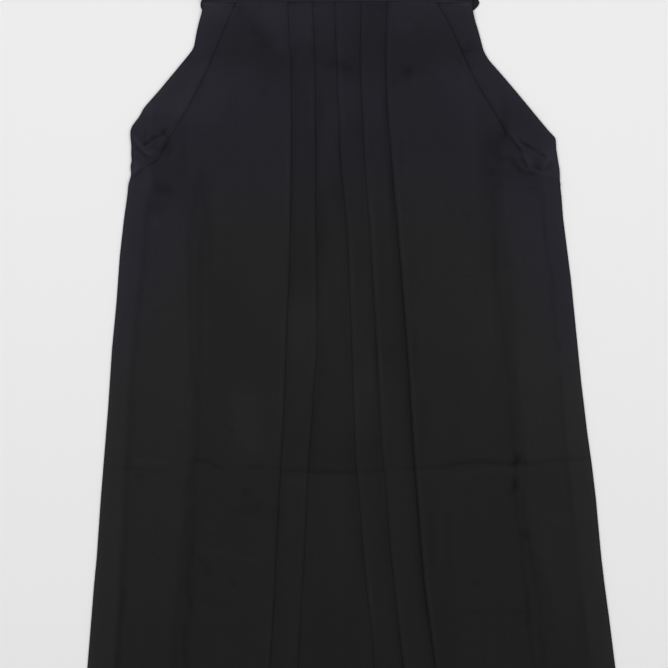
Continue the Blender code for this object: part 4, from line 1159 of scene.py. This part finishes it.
class HAKAMA_OT_backs(bpy.types.Operator):
    """Makes the two back panels, flat on the floor, with their pleats meeting at the centre"""

    bl_idname = "hakama.backs"
    bl_label = "Back panels"

    def execute(self, context):
        depth = fold_depth()
        down = np.unique(np.concatenate([rows_between(BACK_TOP, 10)[::2], rows_between(10, HEM_DOWN)]))
        lines = Lines(down)
        for side, inward in SIDES:
            below_band = getattr(lines, f"side_{side}") + inward * BACK_INSET
            outer = np.where(down <= BACK_EDGES[side][-1][0], monotone(BACK_EDGES[side], down), below_band)
            fold = lines.centre_back - inward * SEAM / 2
            tuck = fold - inward * BACK_TUCK
            runs = []
            spans = ((outer, fold, 46, inward), (fold, tuck, 10, -inward), (tuck, fold, 10, inward))
            for level, (begin, end, count, way) in enumerate(spans):  # way is 1 from low to high x
                low_fold, high_fold = (level > 0, level < 2)[::way]
                low, high = np.minimum(begin, end) + depth * low_fold, np.maximum(begin, end) - depth * high_fold
                x = columns(low, high, count, level == 0, level == 0)
                rows = spread(down, x)
                rise, tone = crease_fields(x, rows)
                z = np.full_like(x, HALF + STEP * level)
                if level == 0:
                    z += np.clip(BACK_CREASES * rise, 0, BACK_CREASES_MOST) + BACK_WAVES * wave_rise(x, rows)
                    z -= BACK_SINK
                runs.append(Run(x, z, tone + strip_tone(x, rows), way))
            panel(f"{side}_back_cloth", runs, down, f"back_{side}")
        return {"FINISHED"}


class HAKAMA_OT_gussets(bpy.types.Operator):
    """Makes the gussets, folded flat between the front and the back"""

    bl_idname = "hakama.gussets"
    bl_label = "Gussets"

    def execute(self, context):
        down = rows_between(CROTCH_DOWN, HEM_DOWN)[::2]
        down = np.append(down[down < HEM_DOWN - 0.5], HEM_DOWN)
        for side, lower_way, upper_way, upper_count in (("left", -1, 1, 26), ("right", 1, -1, 16)):
            folds = (side == "left", side == "right")
            runs = [
                leaf(f"gusset_lower_{side}", down, lower_way, 16, folds=folds),
                leaf(f"gusset_upper_{side}", down, upper_way, upper_count, folds=folds),
            ]
            panel(
                f"{side}_gusset_cloth", runs, down, f"gusset_{side}",
            )  # fmt: skip
        return {"FINISHED"}


class HAKAMA_OT_side_pleats(bpy.types.Operator):
    """Makes the leaf-shaped pleats down the side openings"""

    bl_idname = "hakama.side_pleats"
    bl_label = "Side pleats"

    def execute(self, context):
        down = rows_between(FRONT_TOP, FOOT_DOWN)
        lines = Lines(down)
        for side, inward in SIDES:
            fine = (side == "left", side == "right")
            run = leaf(f"side_pleat_{side}", down, 1, 26, fine=fine, folds=(False, False))
            rows = spread(down, run.x)
            past_front = -inward * (run.x - getattr(lines, f"edge_{side}")[:, None])
            inside = np.abs(run.x - getattr(lines, f"side_{side}")[:, None])
            # painted highlight beside the side pleat's outer edge and painted shade on its rim; line is the painted
            # shadow of the front's edge
            painted_light = OPEN_HIGHLIGHT * np.exp(-inside / OPEN_HIGHLIGHT_LENGTH) - OPEN_RIM * bell(inside, RIM_WIDTH)
            line = edge_shade(side, np.maximum(past_front, 0), rows)
            run.tone = run.tone + between(SIDE_PLEAT_TONES[side], rows) + painted_light - line
            panel(
                f"{side}_side_pleat_cloth", [run], down, f"side_pleat_{side}",
            )  # fmt: skip
        return {"FINISHED"}


class HAKAMA_OT_fronts(bpy.types.Operator):
    """Makes the pleated front panels"""

    bl_idname = "hakama.fronts"
    bl_label = "Front panels"

    def execute(self, context):
        down = rows_between(FRONT_TOP, HEM_DOWN)
        left = [
            leaf("main_left", down, 1, 62, (True, True), (False, True), side_roll("left")),
            leaf("under_a", down, -1, 6),
            leaf("leaf_ab", down, 1, 16, (False, True)),
            leaf("under_b", down, -1, 3),
            leaf("centre", down, 1, 30, (False, False), (True, False)),
        ]
        right = [
            leaf("main_right", down, -1, 62, (True, True), (True, False), side_roll("right")),
            leaf("under_e", down, 1, 6),
            leaf("leaf_de", down, -1, 18, (True, False)),
            leaf("under_d", down, 1, 3),
            leaf("leaf_cd", down, -1, 16, (True, False)),
            leaf("under_c", down, 1, 3, folds=(True, False)),
        ]
        for side, runs in (("left", left), ("right", right)):
            panel(
                f"{side}_front_cloth", runs, down, f"front_{side}",
            )  # fmt: skip
        return {"FINISHED"}


class HAKAMA_OT_front_band(bpy.types.Operator):
    """Makes the band folded over the top of the front"""

    bl_idname = "hakama.front_band"
    bl_label = "Front band"

    def execute(self, context):
        low, high = at_waist("side_left"), at_waist("side_right")
        x = np.unique([*np.linspace(low, high, BAND_COLUMNS), low + 0.4, low + 1, high - 0.4, high - 1])
        along = np.repeat(-BAND_DROPS[None, ::-1], len(x), axis=0)
        # painted highlight on the band's lower lip; past its ends the band is lighter
        painted_light = BAND_TONE + LIP_HIGHLIGHT * smooth((along + LIP_WIDTH) / LIP_SOFT)
        ends = smooth((x - BAND_ENDS[1]) / BAND_END_SOFT) + smooth((BAND_ENDS[0] - x) / BAND_END_SOFT)
        painted_light += BAND_END_TONE * ends[:, None]
        runs = []
        for part, way in (("band_outer", -1), ("band_inner", 1)):
            z = height(LAYERS[part].level, x, np.zeros_like(x))[:, None] + 0 * along
            if way < 0:
                z += BAND_WAVE * np.sin(x / BAND_WAVE_LENGTH)[:, None]
                z -= BAND_STITCH_DEPTH * bell(along + BAND_STITCH_UP, BAND_STITCH_WIDTH)
                z -= BAND_EDGE_DROP * smooth(1 + along / BAND_EDGE)
            runs.append(Run(along, z, painted_light, way))
        fold = BAND_HEIGHT - BAND_DROPS[-1]
        piece = wall_object(
            "front_band_cloth",
            *folded_wall(
                runs, x, BAND_CLOTH, fold, lambda along, z, row: np.stack([row, WAIST_Y - along, z], axis=-1)
            ),
        )
        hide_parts("front_band")
        return {"FINISHED"}


class HAKAMA_OT_front_ties(bpy.types.Operator):
    """Makes the front ties, folded into hanks at the ends of the band"""

    bl_idname = "hakama.front_ties"
    bl_label = "Front ties"

    def execute(self, context):
        left, right = at_waist("side_left"), at_waist("side_right")
        spans = (("left", left, left + FRONT_TIE_WIDTH), ("right", right - FRONT_TIE_WIDTH, right))
        for seed, (side, low, high) in enumerate(spans, start=3):
            highest = height(TOP_LEVEL, np.array([low, (low + high) / 2, high]), np.zeros(3)).max()
            spacing = (highest - HALF) / (FRONT_TIE_RUNS - 1)
            tie(
                f"front_tie_{side}",
                [highest - spacing * number for number in range(FRONT_TIE_RUNS)],
                FRONT_TIE_START,
                (REACH_UP, -BACK_TOP + FRONT_TIE_CLEAR),
                (low, high),
                lambda along, z, across: np.stack([across, WAIST_Y + along, z], axis=-1),
                seed,
                lowest=0.0,
            )
        return {"FINISHED"}


class HAKAMA_OT_back_board(bpy.types.Operator):
    """Makes the stiffened back board, covered with the same cloth"""

    bl_idname = "hakama.back_board"
    bl_label = "Back board"

    def execute(self, context):
        centre, base = at_waist("centre_back"), WAIST_Y - BACK_TOP + SEAM
        corners = [
            (centre + way * width / 2, base + up, radius)
            for width, up, radius, ways in ((BOARD_BASE, 0, 1.5, (-1, 1)), (BOARD_TOP, BOARD_HEIGHT, 7, (1, -1)))
            for way in ways
        ]
        outline = rounded_outline(corners, samples=40)
        low, high = outline.min(0), outline.max(0)
        middle, span = (low + high) / 2, (high - low) / 2
        # Rings from the underside round the edge to the crowned top: (inset, height, tone); the tone is a painted
        # highlight round the edge and painted shade in the groove on top.
        rings = [
            (14, 0.02, 0), (2, 0.02, 0), (0.9, 0.2, 0), (0.25, 0.8, 0.02), (0, 1.6, 0.03), (0, 2.5, 0.03),
            (0.3, 3.2, 0.04), (1, 3.8, 0.05), (2.2, 4.05, 0.02), (4.2, 4.1, 0), (5.2, 3.95, -0.08),
            (5.8, 3.8, -0.12), (6.4, 3.95, -0.08), (7.4, 4.1, 0), (12, 4.15, 0), (20, 4.2, 0), (30, 4.25, 0),
            (38, 4.25, 0),
        ]  # fmt: skip
        points = [
            np.column_stack([middle + (outline - middle) * (1 - inset / span), np.full(len(outline), z)])
            for inset, z, _ in rings
        ]
        piece = ring_object("back_board_cloth", points, [tone for *_, tone in rings])
        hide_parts("back_board")
        return {"FINISHED"}


class HAKAMA_OT_back_ties(bpy.types.Operator):
    """Makes the back ties, folded across the board"""

    bl_idname = "hakama.back_ties"
    bl_label = "Back ties"

    def execute(self, context):
        centre = at_waist("centre_back")
        slant = (BOARD_BASE - BOARD_TOP) / 2 / BOARD_HEIGHT
        for seed, (side, inward) in enumerate(SIDES, start=7):
            up = BACK_TIE_UP[side]
            half_width = BOARD_BASE / 2 - slant * (up + BACK_TIE_WIDTH) - BACK_TIE_END_GAP
            near, far = centre - inward * half_width, centre + inward * half_width
            low = WAIST_Y - BACK_TOP + SEAM + up
            tie(
                f"back_tie_{side}",
                [BOARD_THICKNESS + SEAM + HALF + STEP * number for number in range(BACK_TIE_RUNS)],
                near,
                (far, near),
                (low, low + BACK_TIE_WIDTH),
                lambda along, z, across: np.stack([along, across, z], axis=-1),
                seed,
                lowest=BOARD_THICKNESS + SEAM,
            )
        return {"FINISHED"}


FLOOR_REACH, FLOOR_Z = 9.0, -0.0002  # metres
SENSOR_WIDTH = 36.0
WORLD_STRENGTH = 0.5
LIGHTS = [  # name, place, aim, size, watts
    ("window", (0.0, 1.9, 2.2), (0, 0.1, 0), (2.4, 1.0), 18.0),
    ("lamp_left", (-1.25, 0.15, 1.9), (-0.05, 0.05, 0), (0.9, 1.3), 12.0),
    ("lamp_right", (1.25, 0.15, 1.9), (0.05, 0.05, 0), (0.9, 1.3), 12.0),
]


class HAKAMA_OT_stage(bpy.types.Operator):
    """Sets up the pale ground, the soft lights and the camera straight above"""

    bl_idname = "hakama.stage"
    bl_label = "Stage"

    def execute(self, context):
        scene, stage = context.scene, context.scene.hakama_stage

        def place(name, data, at):
            item = bpy.data.objects.new(name, data)
            item.location = at
            scene.collection.objects.link(item)
            return item

        tree = ShaderTree("pale_ground")
        tree.surface(Base_Color=(*scene.hakama_colours.floor, 1), Roughness=0.95, Specular_IOR_Level=0.1)
        mesh = bpy.data.meshes.new("floor")
        corners = [(x * FLOOR_REACH, y * FLOOR_REACH, 0) for x, y in ((-1, -1), (1, -1), (1, 1), (-1, 1))]
        mesh.from_pydata(corners, [], [(0, 1, 2, 3)])
        mesh.materials.append(tree.material)
        place("floor", mesh, (0, 0, FLOOR_Z))
        scene.world = bpy.data.worlds.new("studio")
        scene.world.use_nodes = True
        background = scene.world.node_tree.nodes["Background"]
        background.inputs["Color"].default_value = (1, 1, 1, 1)
        background.inputs["Strength"].default_value = WORLD_STRENGTH
        for name, at, aim, size, watts in LIGHTS:
            lamp = bpy.data.lights.new(name, "AREA")
            lamp.shape, lamp.size, lamp.size_y, lamp.energy = "RECTANGLE", *size, watts
            item = place(name, lamp, at)
            item.rotation_euler = (Vector(aim) - Vector(at)).to_track_quat("-Z", "Y").to_euler()
            item.visible_camera = False
        camera = bpy.data.cameras.new("camera")
        camera.type, camera.sensor_width, camera.clip_end = "PERSP", SENSOR_WIDTH, 50
        camera.lens = SENSOR_WIDTH * stage.camera_height / stage.view_width
        scene.camera = place("camera", camera, (*stage.view_centre, stage.camera_height))
        scene.view_settings.view_transform = "Standard"
        return {"FINISHED"}


class HAKAMA_PT_sidebar(bpy.types.Panel):
    bl_label = "Hakama"
    bl_idname = "HAKAMA_PT_sidebar"
    bl_space_type = "VIEW_3D"
    bl_region_type = "UI"
    bl_category = "Hakama"

    def draw(self, context):
        for name in GROUPS:
            group, box = getattr(context.scene, name), self.layout.box()
            for field in group.__annotations__:
                box.prop(group, field)
        for operator in OPERATORS:
            self.layout.operator(operator.bl_idname)


OPERATORS = (
    HAKAMA_OT_backs,
    HAKAMA_OT_gussets,
    HAKAMA_OT_side_pleats,
    HAKAMA_OT_fronts,
    HAKAMA_OT_front_band,
    HAKAMA_OT_front_ties,
    HAKAMA_OT_back_board,
    HAKAMA_OT_back_ties,
    HAKAMA_OT_stage,
)
GROUPS = {"hakama_sizes": HakamaSizes, "hakama_colours": HakamaColours, "hakama_stage": HakamaStage}


def register():
    for group in (*GROUPS.values(), *OPERATORS, HAKAMA_PT_sidebar):
        bpy.utils.register_class(group)
    for name, group in GROUPS.items():
        setattr(bpy.types.Scene, name, bpy.props.PointerProperty(type=group))


def unregister():
    for name in GROUPS:
        delattr(bpy.types.Scene, name)
    for group in (HAKAMA_PT_sidebar, *reversed(OPERATORS), *reversed(GROUPS.values())):
        bpy.utils.unregister_class(group)


def main():
    register()
    for operator in OPERATORS:
        area, action = operator.bl_idname.split(".")
        getattr(getattr(bpy.ops, area), action)()


if __name__ == "__main__":
    main()
